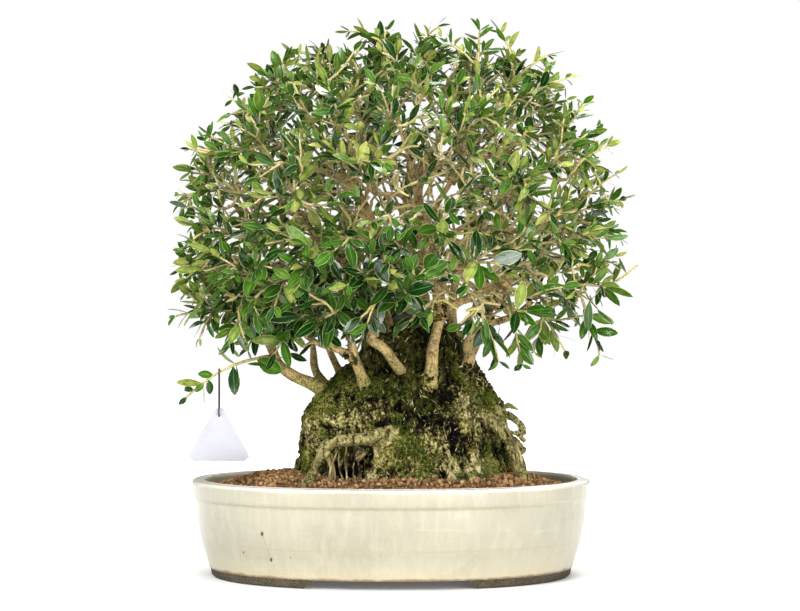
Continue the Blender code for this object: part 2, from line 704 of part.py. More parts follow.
def with_leaves(twig, outward, draw, space):
    """The twig with opposite leaves at its nodes and one at its tip."""
    nodes = []
    for node in twig.nodes:
        if node.free_side is None:
            nodes.append(node)
            continue
        heading = twig_heading(twig, node.share)
        free = side_way(twig, node.share, node.free_side)
        root = twig_point(twig, node.share)
        leaves = [find_leaf(root, heading, side, outward, draw, space)
                  for side in (heading.cross(free), free.cross(heading))]
        shoot = node.shoot and with_leaves(node.shoot, outward, draw, space)
        nodes.append(Node(node.share, node.free_side, leaves, shoot))
    heading = twig_heading(twig, 1.0)
    return twig._replace(nodes=nodes, tip=find_leaf(twig.end, heading, heading, outward, draw, space))


def label_stem():
    before, last = (Vector(p) for p in LABEL_BRANCH.points[-2:])
    heading = (last - before).normalized()
    nodes = [Node(share, side, (), None) for share, side in LABEL_STEM_NODES]
    return Twig(last + heading * GAP, heading, LABEL_STEM_END, STEM_RADIUS, nodes, None)


def grow_crown():
    """The wood's branches, and every spray as a stem with its shoots and leaves."""
    draw = random.Random(SEED)
    directions, carriers, branches = grow_wood(draw)
    space = Space()
    for limb in (*branches, CUT_STUB, LABEL_BRANCH):
        for point, radius in along(limb):
            if (point - Vector(limb.points[-1])).length > 0.006:
                space.fill([point], radius)
    stems = [find_stem(branch, way, draw, space) for branch, way in zip(carriers, directions)]
    stems.append(label_stem())
    space.fill(twig_samples(stems[-1], 0.1), STEM_RADIUS)
    space.fill(label_room(), 0.004)
    directions.append(LABEL_STEM_WAY)
    ways = list(zip(stems, directions))
    stems = [stem if stem.nodes else with_shoots(stem, way, draw, space) for stem, way in ways]
    return branches, [with_leaves(stem, way, draw, space) for stem, way in zip(stems, directions)]


def draw_out(shape, face, ring):
    """Draws a face out to a ring of as many corners, with the least twist, and gives the new end face."""
    end = bmesh.ops.extrude_discrete_faces(shape, faces=[face])["faces"][0]
    count = len(ring)
    old_middle = end.calc_center_median()
    old = [v.co - old_middle for v in end.verts]
    middle = sum(ring, Vector()) / count
    new = [corner - middle for corner in ring]
    fit = [sum(old[i].dot(new[(i + k) % count]) for i in range(count)) for k in range(count)]
    turn = fit.index(max(fit))
    for i, corner in enumerate(end.verts):
        corner.co = ring[(i + turn) % count]
    return end


def split_outward(quad):
    """Splits a side quad into two triangles along the diagonal that stands out."""
    a, b, c, d = quad.verts
    outward = (b.co - a.co).cross(c.co - a.co)
    corners = (a, c) if (d.co - a.co).dot(outward) <= 0 else (b, d)
    bmesh.utils.face_split(quad, *corners)


def side_triangle(shape, end, ring, side):
    """Half of the quad behind one side of an end face, from which a leaf or a shoot grows."""
    for edge in end.edges:
        middle = (edge.verts[0].co + edge.verts[1].co) / 2
        if (middle - ring[side % TWIG_SIDES].lerp(ring[(side + 1) % TWIG_SIDES], 0.5)).length < GAP / 10:
            quad = next(face for face in edge.link_faces if face != end)
            split_outward(quad)
            return quad
    raise ValueError("the end face has no such side")


def build_leaf(shape, face, leaf):
    """A thin blade, flat above and keeled below, from its root face to its point."""
    across = leaf.direction.cross(leaf.normal)
    for share in BLADE_RINGS:
        middle = leaf.root + leaf.direction * leaf.length * share - leaf.normal * leaf.droop * share**2
        side = across * leaf.width * BLADE_SPREAD
        face = draw_out(shape, face, [middle + side, middle - leaf.normal * LEAF_THICKNESS, middle - side])
    tip = bmesh.ops.poke(shape, faces=[face])["verts"][0]
    tip.co = leaf.root + leaf.direction * leaf.length - leaf.normal * (leaf.droop + LEAF_THICKNESS / 3)


def build_nodes(shape, face, twig):
    """Draws a twig on from its section below its first node, with the nodes' leaves and shoots."""
    half = half_node(twig)
    for k, node in enumerate(twig.nodes):
        if k > 0:
            face = draw_out(shape, face, twig_ring(twig, node.share - half))
        ring = twig_ring(twig, node.share + half)
        face = draw_out(shape, face, ring)
        for turn, leaf in enumerate(node.leaves):
            if leaf:
                build_leaf(shape, side_triangle(shape, face, ring, node.free_side + 1 + turn), leaf)
        if node.shoot:
            root = side_triangle(shape, face, ring, node.free_side)
            build_nodes(shape, draw_out(shape, root, first_ring(node.shoot)), node.shoot)
    if twig.tip:
        build_leaf(shape, draw_out(shape, face, twig_ring(twig, 1.0)), twig.tip)


def half_node(twig):
    """Half the length of a node, as a share of the twig's."""
    return NODE_LENGTH / 2 / (twig.end - twig.start).length


def first_ring(twig):
    """The section just below a twig's first node."""
    return twig_ring(twig, twig.nodes[0].share - half_node(twig))


def make_spray(name, stem, finish):
    shape = bmesh.new()
    points, faces = loft([twig_ring(stem, 0.0), first_ring(stem)])
    corners = [shape.verts.new(p) for p in points]
    sides = [shape.faces.new([corners[i] for i in face]) for face in faces]
    build_nodes(shape, sides[-1], stem)
    for quad in [face for face in shape.faces if len(face.verts) == 4]:
        split_outward(quad)
    mesh = bpy.data.meshes.new(name)
    shape.to_mesh(mesh)
    shape.free()
    link_object(name, mesh, finish)


def loop_ends():
    """The middles of the wire loop's upper and lower turns, with the twig in the upper one."""
    stem = label_stem()
    seat = twig_point(stem, LABEL_SHARE)
    room = WIRE_LOOP_RADIUS - WIRE_RADIUS - 4 * GAP - twig_radius(stem, LABEL_SHARE)
    upper = seat - Vector((0, 0, room))
    return upper, upper - Vector((0, 0, WIRE_LOOP_LENGTH))


def loop_points():
    """The wire's loop, seen edge on from the front: two straight runs between two half turns."""
    upper, lower = loop_ends()
    points = []
    for middle, start in ((upper, 0.0), (lower, math.pi)):
        for i in range(WIRE_TURN_STEPS + 1):
            turn = start + math.pi * i / WIRE_TURN_STEPS
            points.append(middle + WIRE_LOOP_RADIUS * Vector((0, math.cos(turn), math.sin(turn))))
    return points


def label_hole():
    """The middle of the label's hole, whose upper edge hangs on the bottom of the loop."""
    return loop_ends()[1] + Vector((0, 0, WIRE_RADIUS + GAP - WIRE_LOOP_RADIUS - LABEL_HOLE_RADIUS))


def label_outline():
    """The label's corners round its hole: a triangle with its own corners cut."""
    top = LABEL_HOLE_DROP
    foot = top - LABEL_HEIGHT
    half, corner = LABEL_WIDTH / 2, LABEL_CORNER
    return [(-LABEL_TOP_WIDTH / 2, top), (-half, foot + corner), (-half + corner, foot),
            (half - corner, foot), (half, foot + corner), (LABEL_TOP_WIDTH / 2, top)]


def label_room():
    """Points over the label and its wire, which leaves keep clear of."""
    points = loop_points()
    for i in range(-5, 6):
        for j in range(8):
            drop = LABEL_HOLE_DROP - LABEL_HEIGHT * j / 7
            points.append(label_hole() + Vector((i * LABEL_WIDTH / 10, 0, drop)))
    upper, lower = loop_ends()
    return points + [upper.lerp(lower, i / 8) for i in range(9)]


def make_wire(finish):
    points = loop_points()
    rings = []
    for i, point in enumerate(points):
        heading = (points[(i + 1) % len(points)] - points[i - 1]).normalized()
        across = Vector((1, 0, 0))
        rings.append(ring_round(point, across, heading.cross(across), WIRE_RADIUS, WIRE_SIDES))
    add_object("label_wire", *loft(rings, closed=True), finish)


def make_label(finish):
    """A blank triangle hung by its hole."""
    hole = label_hole()
    across, up, through = Vector((1, 0, 0)), Vector((0, 0, 1)), Vector((0, LABEL_THICKNESS, 0))
    corners = [hole + across * x + up * z for x, z in label_outline()]
    sheets = [[corner + through * side for corner in corners] for side in (-0.5, 0.5)]
    label = add_object("label", *loft(sheets), finish)
    bore = [ring_round(hole + through * side, across, up, LABEL_HOLE_RADIUS, 12) for side in (-2, 2)]
    combine(label, "DIFFERENCE", [loft(bore)])


def centre_outline():
    """Moves everything so that the origin lies under the middle of the whole outline, to the millimetre."""
    corners = [v.co for thing in bpy.data.objects for v in thing.data.vertices]
    shift = Vector((0, 0, 0))
    for axis in (0, 1):
        values = [c[axis] for c in corners]
        shift[axis] = -round((min(values) + max(values)) / 2, 3)
    for thing in bpy.data.objects:
        thing.data.transform(Matrix.Translation(shift))


def main():
    clear_scene()
    glaze = material("cream_glaze", (0.76, 0.72, 0.55), 0.25)
    earth = material("red_brown_soil", (0.20, 0.10, 0.05), 0.95)
    bark = material("mossy_bark", (0.26, 0.22, 0.11), 0.9)
    green = material("olive_leaf", (0.07, 0.20, 0.03), 0.4)
    black = material("black_mesh", (0.03, 0.03, 0.03), 0.6)
    white = material("blank_label", (0.85, 0.85, 0.87), 0.4)
    brown = material("brown_wire", (0.06, 0.03, 0.03), 0.5)
    make_pot(glaze)
    make_screens(black)
    make_soil(earth)
    branches, stems = grow_crown()
    make_wood(branches, bark)
    for i, stem in enumerate(stems):
        make_spray(f"leafy_spray_{i + 1:02d}", stem, green)
    make_wire(brown)
    make_label(white)
    for thing in bpy.data.objects:
        thing.data.shade_smooth()
        thing.data.set_sharp_from_angle(angle=math.radians(35))
    centre_outline()


main()
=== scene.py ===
"""Olive bonsai in a cream oval pot: glazed pot, grainy soil, mossy stump, tan limbs and a dense leafy crown.

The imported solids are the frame. Each piece below stands for one of them or adds its fine surface.
Lengths are in metres. Pieces are laid out round the pot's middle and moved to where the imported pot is.
"""
import math
import random
from collections import defaultdict, namedtuple
from functools import lru_cache

import bpy
import numpy as np
from bpy.props import FloatProperty, FloatVectorProperty, IntProperty, PointerProperty
from mathutils import Matrix, Vector, noise


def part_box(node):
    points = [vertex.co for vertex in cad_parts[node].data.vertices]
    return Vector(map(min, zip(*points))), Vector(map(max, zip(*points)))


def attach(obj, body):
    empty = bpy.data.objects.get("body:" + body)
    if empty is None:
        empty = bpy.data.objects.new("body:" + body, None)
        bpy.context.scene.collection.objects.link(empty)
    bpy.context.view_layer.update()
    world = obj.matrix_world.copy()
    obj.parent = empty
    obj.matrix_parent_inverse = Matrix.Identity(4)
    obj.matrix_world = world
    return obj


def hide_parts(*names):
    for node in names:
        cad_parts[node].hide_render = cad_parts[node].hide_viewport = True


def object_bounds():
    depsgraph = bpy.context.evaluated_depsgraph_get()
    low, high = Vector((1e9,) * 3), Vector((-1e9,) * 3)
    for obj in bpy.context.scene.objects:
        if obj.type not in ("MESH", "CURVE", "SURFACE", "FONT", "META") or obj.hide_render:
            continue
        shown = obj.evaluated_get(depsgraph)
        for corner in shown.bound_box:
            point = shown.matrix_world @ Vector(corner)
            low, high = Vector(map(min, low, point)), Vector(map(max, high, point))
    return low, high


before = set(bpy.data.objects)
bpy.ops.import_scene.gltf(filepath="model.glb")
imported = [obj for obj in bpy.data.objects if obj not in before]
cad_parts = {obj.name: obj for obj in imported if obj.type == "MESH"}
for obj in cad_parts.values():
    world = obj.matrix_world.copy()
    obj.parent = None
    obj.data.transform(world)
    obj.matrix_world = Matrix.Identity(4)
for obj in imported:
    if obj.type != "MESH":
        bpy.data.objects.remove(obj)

bl_info = {
    "name": "Olive bonsai",
    "version": (1, 0, 0),
    "blender": (4, 5, 0),
    "location": "View3D > Sidebar > Bonsai",
    "description": "Models an olive bonsai in its oval pot around its packed solids",
    "category": "Object",
}

CAD_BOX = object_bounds()
POT_LOW, POT_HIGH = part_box("pot")
SHIFT = Vector(((POT_LOW.x + POT_HIGH.x) / 2, (POT_LOW.y + POT_HIGH.y) / 2, 0.0))
PART_LOW, PART_HIGH = (corner - SHIFT for corner in CAD_BOX)
GAP = 0.0003  # between pieces that touch

Limb = namedtuple("Limb", "points start_radius end_radius")
Twig = namedtuple("Twig", "start heading end radius nodes tip")
Node = namedtuple("Node", "share free_side leaves shoot")
Leaf = namedtuple("Leaf", "root direction normal length width droop")
End = namedtuple("End", "place outward")

# Pot: an oval drawn in from the rim's outline, as (inset, height) pairs
POT_LENGTH = 0.400
POT_WIDTH = 0.304
OVAL_POWER = 2.2
OVAL_CORNERS = 160  # round the pot and its feet
RIM_HEIGHT = 0.0950
POT_UNDERSIDE = 0.0085
POT_FLOOR = 0.0180
POT_OUTSIDE = (
    (0.0182, POT_UNDERSIDE),
    (0.0145, 0.0210),
    (0.0105, 0.0335),
    (0.0086, 0.0415),
    (0.0048, 0.0620),
    (0.0038, 0.0760),
    (0.0012, 0.0790),
    (0.0000, 0.0925),
    (0.0016, RIM_HEIGHT),
)
POT_INSIDE = (
    (0.0122, RIM_HEIGHT),
    (0.0136, 0.0925),
    (0.0144, 0.0550),
    (0.0190, 0.0300),
    (0.0270, POT_FLOOR),
)

# Feet: a band under each end of the oval, cut away in the middle of both long sides
FOOT_PROFILE = ((0.0186, 0.0110), (0.0200, 0.0020), (0.0220, 0.0), (0.0400, 0.0), (0.0410, 0.0110))
FOOT_GAP_AT_FLOOR = 0.164
FOOT_GAP_AT_TOP = 0.141

# Drain holes in the pot's floor
DRAIN_RADIUS = 0.009
DRAIN_SPACING = 0.170

# Soil: its height at the pot's wall and where it is heaped round the stump, half its extent each way, and the
# share of that over which the heap slopes
SOIL_AT_WALL = 0.0870
SOIL_MOUND = 0.1005
SOIL_HALF_LENGTH = 0.186
SOIL_HALF_DEPTH = 0.138
SOIL_SLOPE = 0.34
SOIL_LINE = 0.09  # height at which the stump meets the soil
BED_DROP = 0.0022  # how far the bed lies under the grains' middles
BED_RINGS = 16
BED_SHADE = 0.2
GRAINS_HALF_LENGTH = 0.1835
GRAINS_HALF_DEPTH = 0.1355
GRAINS_TRIED = 7600

# Stump: height, middle in X, half length, half depth
STUMP_RINGS = (
    (0.0850, 0.0160, 0.1120, 0.0900),
    (0.1020, 0.0150, 0.1105, 0.0890),
    (0.1230, 0.0125, 0.1060, 0.0870),
    (0.1430, 0.0100, 0.1010, 0.0840),
    (0.1620, 0.0085, 0.0965, 0.0790),
    (0.1770, 0.0090, 0.0880, 0.0720),
    (0.1900, 0.0140, 0.0790, 0.0640),
    (0.2040, 0.0165, 0.0670, 0.0560),
    (0.2180, 0.0170, 0.0560, 0.0500),
    (0.2320, 0.0240, 0.0430, 0.0420),
    (0.2460, 0.0290, 0.0300, 0.0330),
    (0.2580, 0.0290, 0.0170, 0.0210),
)
# Ridges that run down the stump: share of its radius, count round it, lean with height, phase
STUMP_RIDGES = ((0.030, 3, 6.0, 0.8), (0.034, 5, 18.0, -2.1), (0.034, 8, -25.0, 1.0))
# Hollows and knobs: angle in degrees, height, share of the radius, half width in degrees, half height
STUMP_SWELLS = (
    (-120.0, 0.112, -0.17, 13.0, 0.016),
    (-23.0, 0.106, -0.09, 8.0, 0.018),
    (-67.0, 0.180, -0.10, 11.0, 0.024),
    (-75.0, 0.098, 0.07, 24.0, 0.016),
    (-12.0, 0.172, 0.06, 16.0, 0.010),
    (-140.0, 0.160, 0.05, 16.0, 0.014),
    (115.0, 0.110, -0.12, 14.0, 0.018),
    (60.0, 0.165, 0.07, 18.0, 0.015),
)

# Roots that show, each as its points and its radius at the stump and at the end
ROOTS = (
    Limb(((0.004, -0.072, 0.146), (-0.012, -0.087, 0.1415), (-0.034, -0.092, 0.1385),
          (-0.0535, -0.0905, 0.1375), (-0.0630, -0.0900, 0.1300), (-0.0705, -0.0880, 0.1160),
          (-0.0790, -0.0850, 0.0980), (-0.0830, -0.0840, 0.0850)), 0.0050, 0.0046),
    Limb(((-0.030, -0.070, 0.128), (-0.0340, -0.0870, 0.1200), (-0.0330, -0.0890, 0.1060),
          (-0.0300, -0.0900, 0.0850)), 0.0042, 0.0034),
    Limb(((0.092, -0.030, 0.158), (0.1080, -0.0420, 0.1480), (0.1190, -0.0430, 0.1280),
          (0.1290, -0.0420, 0.1050), (0.1330, -0.0410, 0.0850)), 0.0052, 0.0048),
    Limb(((0.098, -0.004, 0.160), (0.1180, -0.0080, 0.1590), (0.1290, -0.0090, 0.1500),
          (0.1345, -0.0090, 0.1400)), 0.0046, 0.0022),
    Limb(((0.104, 0.012, 0.140), (0.1230, 0.0060, 0.1330), (0.1340, 0.0050, 0.1210)), 0.0040, 0.0020),
    Limb(((-0.060, 0.050, 0.150), (-0.0800, 0.0660, 0.1360), (-0.0900, 0.0680, 0.1100),
          (-0.0940, 0.0690, 0.0850)), 0.0055, 0.0046),
    Limb(((0.020, 0.070, 0.148), (0.0260, 0.0890, 0.1350), (0.0340, 0.0960, 0.1120),
          (0.0360, 0.0980, 0.0850)), 0.0060, 0.0050),
    Limb(((0.085, 0.050, 0.140), (0.1020, 0.0620, 0.1240), (0.1100, 0.0660, 0.0850)), 0.0052, 0.0044),
)

# Limbs, from inside the stump to where they fork in the crown
LIMBS = (
    Limb(((-0.058, -0.018, 0.176), (-0.0758, -0.0240, 0.1893), (-0.0960, -0.0300, 0.1984),
          (-0.1100, -0.0340, 0.2095), (-0.1187, -0.0360, 0.2277), (-0.1265, -0.0360, 0.2480),
          (-0.1320, -0.0340, 0.2740)), 0.0068, 0.0050),
    Limb(((-0.021, -0.046, 0.178), (-0.0275, -0.0600, 0.1960), (-0.0335, -0.0680, 0.2125),
          (-0.0375, -0.0700, 0.2267), (-0.0400, -0.0700, 0.2500),
          (-0.0460, -0.0640, 0.2850)), 0.0062, 0.0045),
    Limb(((-0.0345, -0.0680, 0.2150), (-0.0480, -0.0780, 0.2240), (-0.0667, -0.0870, 0.2297),
          (-0.0850, -0.0940, 0.2420)), 0.0036, 0.0028),
    Limb(((0.036, -0.046, 0.188), (0.0394, -0.0580, 0.2024), (0.0412, -0.0640, 0.2267),
          (0.0465, -0.0620, 0.2489),
          (0.0520, -0.0600, 0.2620), (0.0620, -0.0590, 0.2690), (0.0828, -0.0600, 0.2790),
          (0.1080, -0.0600, 0.2900)), 0.0074, 0.0050),
    Limb(((0.0490, -0.0610, 0.2540), (0.0480, -0.0570, 0.2720), (0.0460, -0.0500, 0.3000),
          (0.0400, -0.0440, 0.3300)), 0.0052, 0.0038),
    Limb(((0.068, -0.022, 0.204), (0.0775, -0.0320, 0.2146), (0.0760, -0.0370, 0.2307),
          (0.0828, -0.0400, 0.2408),
          (0.0980, -0.0440, 0.2500), (0.1240, -0.0500, 0.2600)), 0.0060, 0.0042),
    Limb(((-0.062, 0.024, 0.182), (-0.0778, 0.0360, 0.2024), (-0.0810, 0.0420, 0.2267),
          (-0.0880, 0.0500, 0.2700)), 0.0044, 0.0034),
    Limb(((-0.044, 0.042, 0.186), (-0.0566, 0.0560, 0.2065), (-0.0697, 0.0700, 0.2337),
          (-0.0850, 0.0860, 0.2600)), 0.0050, 0.0038),
    Limb(((0.054, 0.012, 0.212), (0.0646, 0.0250, 0.2337), (0.0620, 0.0300, 0.2620),
          (0.0700, 0.0400, 0.3050)), 0.0060, 0.0042),
    Limb(((0.022, -0.006, 0.244), (0.0120, -0.0060, 0.2680), (-0.0020, -0.0060, 0.3000),
          (-0.0140, -0.0020, 0.3400)), 0.0066, 0.0046),
    Limb(((0.034, 0.004, 0.246), (0.0340, 0.0080, 0.2700), (0.0300, 0.0140, 0.3100),
          (0.0340, 0.0120, 0.3500)), 0.0058, 0.0042),
    Limb(((0.008, 0.046, 0.190), (0.0060, 0.0640, 0.2120), (0.0000, 0.0840, 0.2440),
          (-0.0100, 0.1000, 0.2850)), 0.0060, 0.0044),
    Limb(((0.058, 0.042, 0.186), (0.0760, 0.0580, 0.2060), (0.0920, 0.0740, 0.2340),
          (0.1060, 0.0860, 0.2680)), 0.0056, 0.0042),
)
CUT_STUB = Limb(((0.014, -0.046, 0.200), (0.0045, -0.0700, 0.2110), (-0.0060, -0.0800, 0.2260),
                 (-0.0190, -0.0840, 0.2350), (-0.0150, -0.0850, 0.2440)), 0.0050, 0.0052)
LABEL_BRANCH = Limb(((-0.1125, -0.0345, 0.2130), (-0.1210, -0.0400, 0.2180), (-0.1300, -0.0440, 0.2165)),
                    0.0030, 0.0016)
LIMB_TAPER = 0.7  # under 1, so that a limb thins sooner near its start
BRANCH_END_RADIUS = 0.0016

# Crown: a dome over the stump, squarer than an ellipsoid
DOME_MIDDLE = Vector((0.0080, 0.0000, 0.3000))
DOME_HALF_LENGTH = 0.234
DOME_HALF_DEPTH = 0.200
DOME_ABOVE = 0.248
DOME_BELOW = 0.078
DOME_POWER = 2.5
SPRAYS = 42
SPRAY_START = (0.67, 0.76)  # share of the dome's radius where the wood ends and a leafy spray begins
LOWEST_SPRAY = -0.30  # how far below the dome's middle sprays start, as a share of its radius
LOWEST_LEAF = 0.165
SEED = 43

# Leafy sprays: three-sided twigs whose nodes carry opposite leaves and, low on the stem, a shoot
STEM_RADIUS = 0.0015
SHOOT_RADIUS = 0.0012
TWIG_SIDES = 3
TWIG_TAPER = 0.3
STEM_REACH = (0.87, 0.93)  # share of the dome's radius where a stem ends
STEM_NODES = (0.30, 0.56, 0.82)
SHOOT_NODES = (0.62,)
SHOOT_LENGTH = (0.026, 0.038)
SHOOTS_PER_STEM = 2
SHOOT_REACH = 0.95
LEAF_LENGTH = (0.026, 0.034)
LEAF_WIDTH_SHARE = 0.37
LEAF_LEAN = (40, 66)  # degrees off the twig
LEAF_DROOP = (0.02, 0.14)  # fall of the tip, as a share of the length
POSES = 14  # how many poses a leaf or shoot tries
LEAF_CLEARANCE = 0.0041
ROOT_CLEARANCE = 0.0009
TWIG_CLEARANCE = 0.0070
# Where a leaf is tested for room, as shares of its length and width
ROOT_SECTION = ((0.20, 0.6),)
BLADE_SECTIONS = ((0.34, 0.92), (0.50, 1.0), (0.66, 0.95), (0.82, 0.6), (1.0, 0.0))
CELL = 0.012  # side of the cells that keep track of what is where

# The low twig at the left carries a blank label on a loop of wire
LABEL_STEM_END = Vector((-0.2010, -0.0470, 0.1780))
LABEL_SHARE = 0.53  # where along the twig the wire hangs, on a bare node
LABEL_STEM_NODES = ((0.30, 0), (LABEL_SHARE, None), (0.76, 1))
LABEL_STEM_WAY = Vector((-0.8, -0.6, 0.0))
LABEL_WIDTH = 0.060
LABEL_HEIGHT = 0.052
LABEL_TOP_WIDTH = 0.008
LABEL_CORNER = 0.005
LABEL_THICKNESS = 0.0010
LABEL_HOLE_RADIUS = 0.0030
LABEL_HOLE_DROP = 0.0100
LABEL_MIDDLE_DROP = 0.020  # from its hole to about its middle
WIRE_RADIUS = 0.0008
WIRE_LOOP_LENGTH = 0.040
WIRE_LOOP_RADIUS = 0.0032
WIRE_TURN_STEPS = 5

# Darker lines round the pot, the top one painted shade in the groove under the lip: height, half width, share
GLAZE_LINES_AND_LIP_SHADE = ((0.0772, 0.0024, 0.38), (0.0372, 0.0016, 0.30), (0.0500, 0.0010, 0.10))
# Pits in the glaze at the front: X, Z and how far they reach, which is more in height than in width
GLAZE_PITS = (
    (-0.1210, 0.0515, 0.0017), (-0.1126, 0.0270, 0.0015), (-0.1400, 0.0320, 0.0008), (-0.0940, 0.0300, 0.0006),
)
PIT_SQUEEZE = 0.60

# Splinters of dead root at the right of the stump
ROOT_SPIKES = (
    Limb(((0.104, -0.020, 0.164), (0.117, -0.022, 0.169), (0.126, -0.022, 0.165)), 0.0040, 0.0016),
    Limb(((0.108, -0.030, 0.138), (0.124, -0.030, 0.142), (0.1325, -0.028, 0.134)), 0.0034, 0.0016),
)
# Hollows of the stump, carved in and painted in shade: middle, reach each way, depth
STUMP_CAVES = (
    ((-0.050, -0.088, 0.107), (0.017, 0.030, 0.019), 0.013),
    ((0.112, -0.052, 0.110), (0.006, 0.020, 0.018), 0.010),
    ((0.026, -0.075, 0.172), (0.006, 0.030, 0.020), 0.003),
    ((0.056, -0.055, 0.215), (0.009, 0.020, 0.020), 0.005),
)
# Where the stump's bark is paler or darker: X, Z, how wide and tall, and by how much
STUMP_TONES = (
    (0.075, 0.106, 0.050, 0.022, 0.30), (-0.060, 0.150, 0.034, 0.040, 0.16), (0.085, 0.175, 0.022, 0.016, 0.20),
    (-0.030, 0.205, 0.030, 0.024, -0.18), (0.045, 0.222, 0.050, 0.034, -0.26), (0.025, 0.175, 0.026, 0.024, -0.14),
)
# Knots at the front of the stump: X, Z and radius
STUMP_KNOTS = ((0.0264, 0.1955, 0.0042), (0.0070, 0.1690, 0.0075))
# A short dark piece of dead wood that lies at the top of the stump
CHARRED_STUB = ((0.006, -0.040, 0.2570), (0.018, -0.044, 0.2585), (0.030, -0.045, 0.2580), (0.042, -0.043, 0.2590))
CHARRED_RADIUS = 0.0042
LIMB_BASE_POINTS = 7  # how many points of a limb's line are skinned over with the stump's bark

# Leaves of the label's twig: share along it, way in X and Z, length, width
LABEL_LEAVES = (
    (0.03, (0.80, -0.45), 0.028, 0.0165),
    (0.34, (0.05, -1.00), 0.029, 0.0120),
    (0.60, (-1.00, 0.15), 0.016, 0.0085),
    (0.68, (0.15, -1.00), 0.015, 0.0085),
    (0.74, (-0.65, -0.75), 0.013, 0.0070),
    (0.88, (-0.95, 0.10), 0.012, 0.0060),
    (0.99, (-0.70, -0.70), 0.011, 0.0055),
)
# The leaves round the label, which are deep green, lie below and left of these
LABEL_LEAVES_TOP = 0.228
LABEL_LEAVES_RIGHT = -0.12
# Where foliage is thin: X, Z, reach each way, share
OPEN_PLACES = (
    (0.030, 0.365, 0.085, 0.055, 1.0), (0.090, 0.290, 0.065, 0.045, 1.0), (0.058, 0.262, 0.052, 0.036, 1.1),
    (0.130, 0.258, 0.075, 0.036, 1.1), (0.222, 0.272, 0.036, 0.044, 1.2),
    (-0.165, 0.360, 0.055, 0.070, 0.6), (0.180, 0.345, 0.055, 0.075, 0.5), (-0.080, 0.375, 0.050, 0.040, 0.6),
)
# Where leafy shoots end along the crown's outline as seen from the front: X and Z
CROWN_TIPS = (
    (0.169, 0.520), (0.151, 0.532), (0.122, 0.540), (0.166, 0.499), (0.186, 0.477), (0.209, 0.453), (0.214, 0.427),
    (0.223, 0.407), (0.245, 0.392), (0.233, 0.374), (0.239, 0.344), (0.241, 0.312), (0.211, 0.361), (0.090, 0.544),
    (0.078, 0.532), (0.049, 0.546), (0.034, 0.544), (0.004, 0.544), (-0.021, 0.544), (-0.046, 0.542),
    (0.105, 0.518), (0.135, 0.512), (-0.070, 0.532), (-0.092, 0.524), (-0.114, 0.512), (-0.134, 0.497),
    (-0.153, 0.477), (-0.171, 0.459), (-0.197, 0.443), (-0.205, 0.425), (-0.178, 0.427), (-0.208, 0.392),
    (-0.217, 0.364), (-0.203, 0.336),
)
# Tips of the shoots that hang below the crown
HANGING_SHOOTS = (
    (-0.140, -0.095, 0.236), (-0.084, -0.100, 0.228), (-0.060, -0.105, 0.240), (-0.122, -0.060, 0.240),
    (0.104, -0.085, 0.214), (0.127, -0.076, 0.211), (0.170, -0.060, 0.224), (0.206, -0.040, 0.220),
    (0.148, 0.050, 0.222), (-0.119, -0.090, 0.209), (-0.100, -0.060, 0.222),
    (-0.156, -0.080, 0.228), (-0.188, -0.050, 0.236), (-0.214, -0.030, 0.258), (-0.150, 0.060, 0.224),
    (0.060, 0.110, 0.220), (-0.040, 0.120, 0.216),
)
# Leaves that the crown has besides the solids' own
ADDED_LENGTH = (0.022, 0.032)
ADDED_WIDTH_SHARE = (0.31, 0.46)
ADDED_SPACING = (0.007, 0.012)
ADDED_CLEARANCE = 0.0018
ADDED_SECTIONS = ((0.38, 0.95), (0.70, 0.85), (1.0, 0.0))
NODE_SIZES = (0.66, 0.84, 1.0)  # leaf sizes at the nodes from a twig's tip back
# Shells of the dome in which twigs end, as shares of its radius
INNER_SHELL = (0.24, 0.88)
LEAFY_SHELLS = ((0.70, 0.82), (0.82, 0.95))
# A leaf blade's sections: share of its length, share of its half width
BLADE_ROWS = ((0.0, 0.06), (0.10, 0.24), (0.27, 0.74), (0.47, 1.0), (0.67, 0.95), (0.87, 0.60), (1.0, 0.10))
BLADE_HALF_THICKNESS = 0.00022
# How shade wanders over twigs and fine roots: middle, swing, how fast it changes
TWIG_MOTTLE = (0.5, 0.7, 28)
ROOT_MOTTLE = (0.45, 0.9, 110)

# Lights: name, place, size, share of the main power
LIGHTS = (
    ("key", (-1.1, -1.7, 1.6), 0.9, 1.30),
    ("fill", (0.9, -2.1, 0.6), 1.2, 0.98),
    ("top", (0.2, 0.1, 2.1), 1.1, 1.1),
    ("back", (0.4, 1.9, 1.2), 1.4, 0.5),
)
LIT_POINT = Vector((0.0, 0.0, 0.28))
CAMERA_RIGHT = 0.009
FLOOR_RADIUS = 14


def ring_round(middle, across, over, radius, sides):
    turns = (2 * math.pi * i / sides for i in range(sides))
    return [middle + radius * (math.cos(t) * across + math.sin(t) * over) for t in turns]


def shares_along(points):
    """The share of a line's length at each of its points."""
    run = [0.0]
    for a, b in zip(points, points[1:]):
        run.append(run[-1] + (Vector(b) - Vector(a)).length)
    return [r / run[-1] for r in run]


def limb_radii(limb):
    change = limb.end_radius - limb.start_radius
    return [limb.start_radius + change * share**LIMB_TAPER for share in shares_along(limb.points)]


def stump_swell(turn, height):
    """How far the stump's surface stands out there, as a share of its radius."""
    out = 0.0
    for size, count, lean, phase in STUMP_RIDGES:
        out += size * math.sin(count * turn + lean * height + phase)
    for degrees, middle, size, width, tall in STUMP_SWELLS:
        off = (math.degrees(turn) - degrees + 180.0) % 360.0 - 180.0
        out += size * math.exp(-0.5 * (off / width) ** 2 - 0.5 * ((height - middle) / tall) ** 2)
    return out


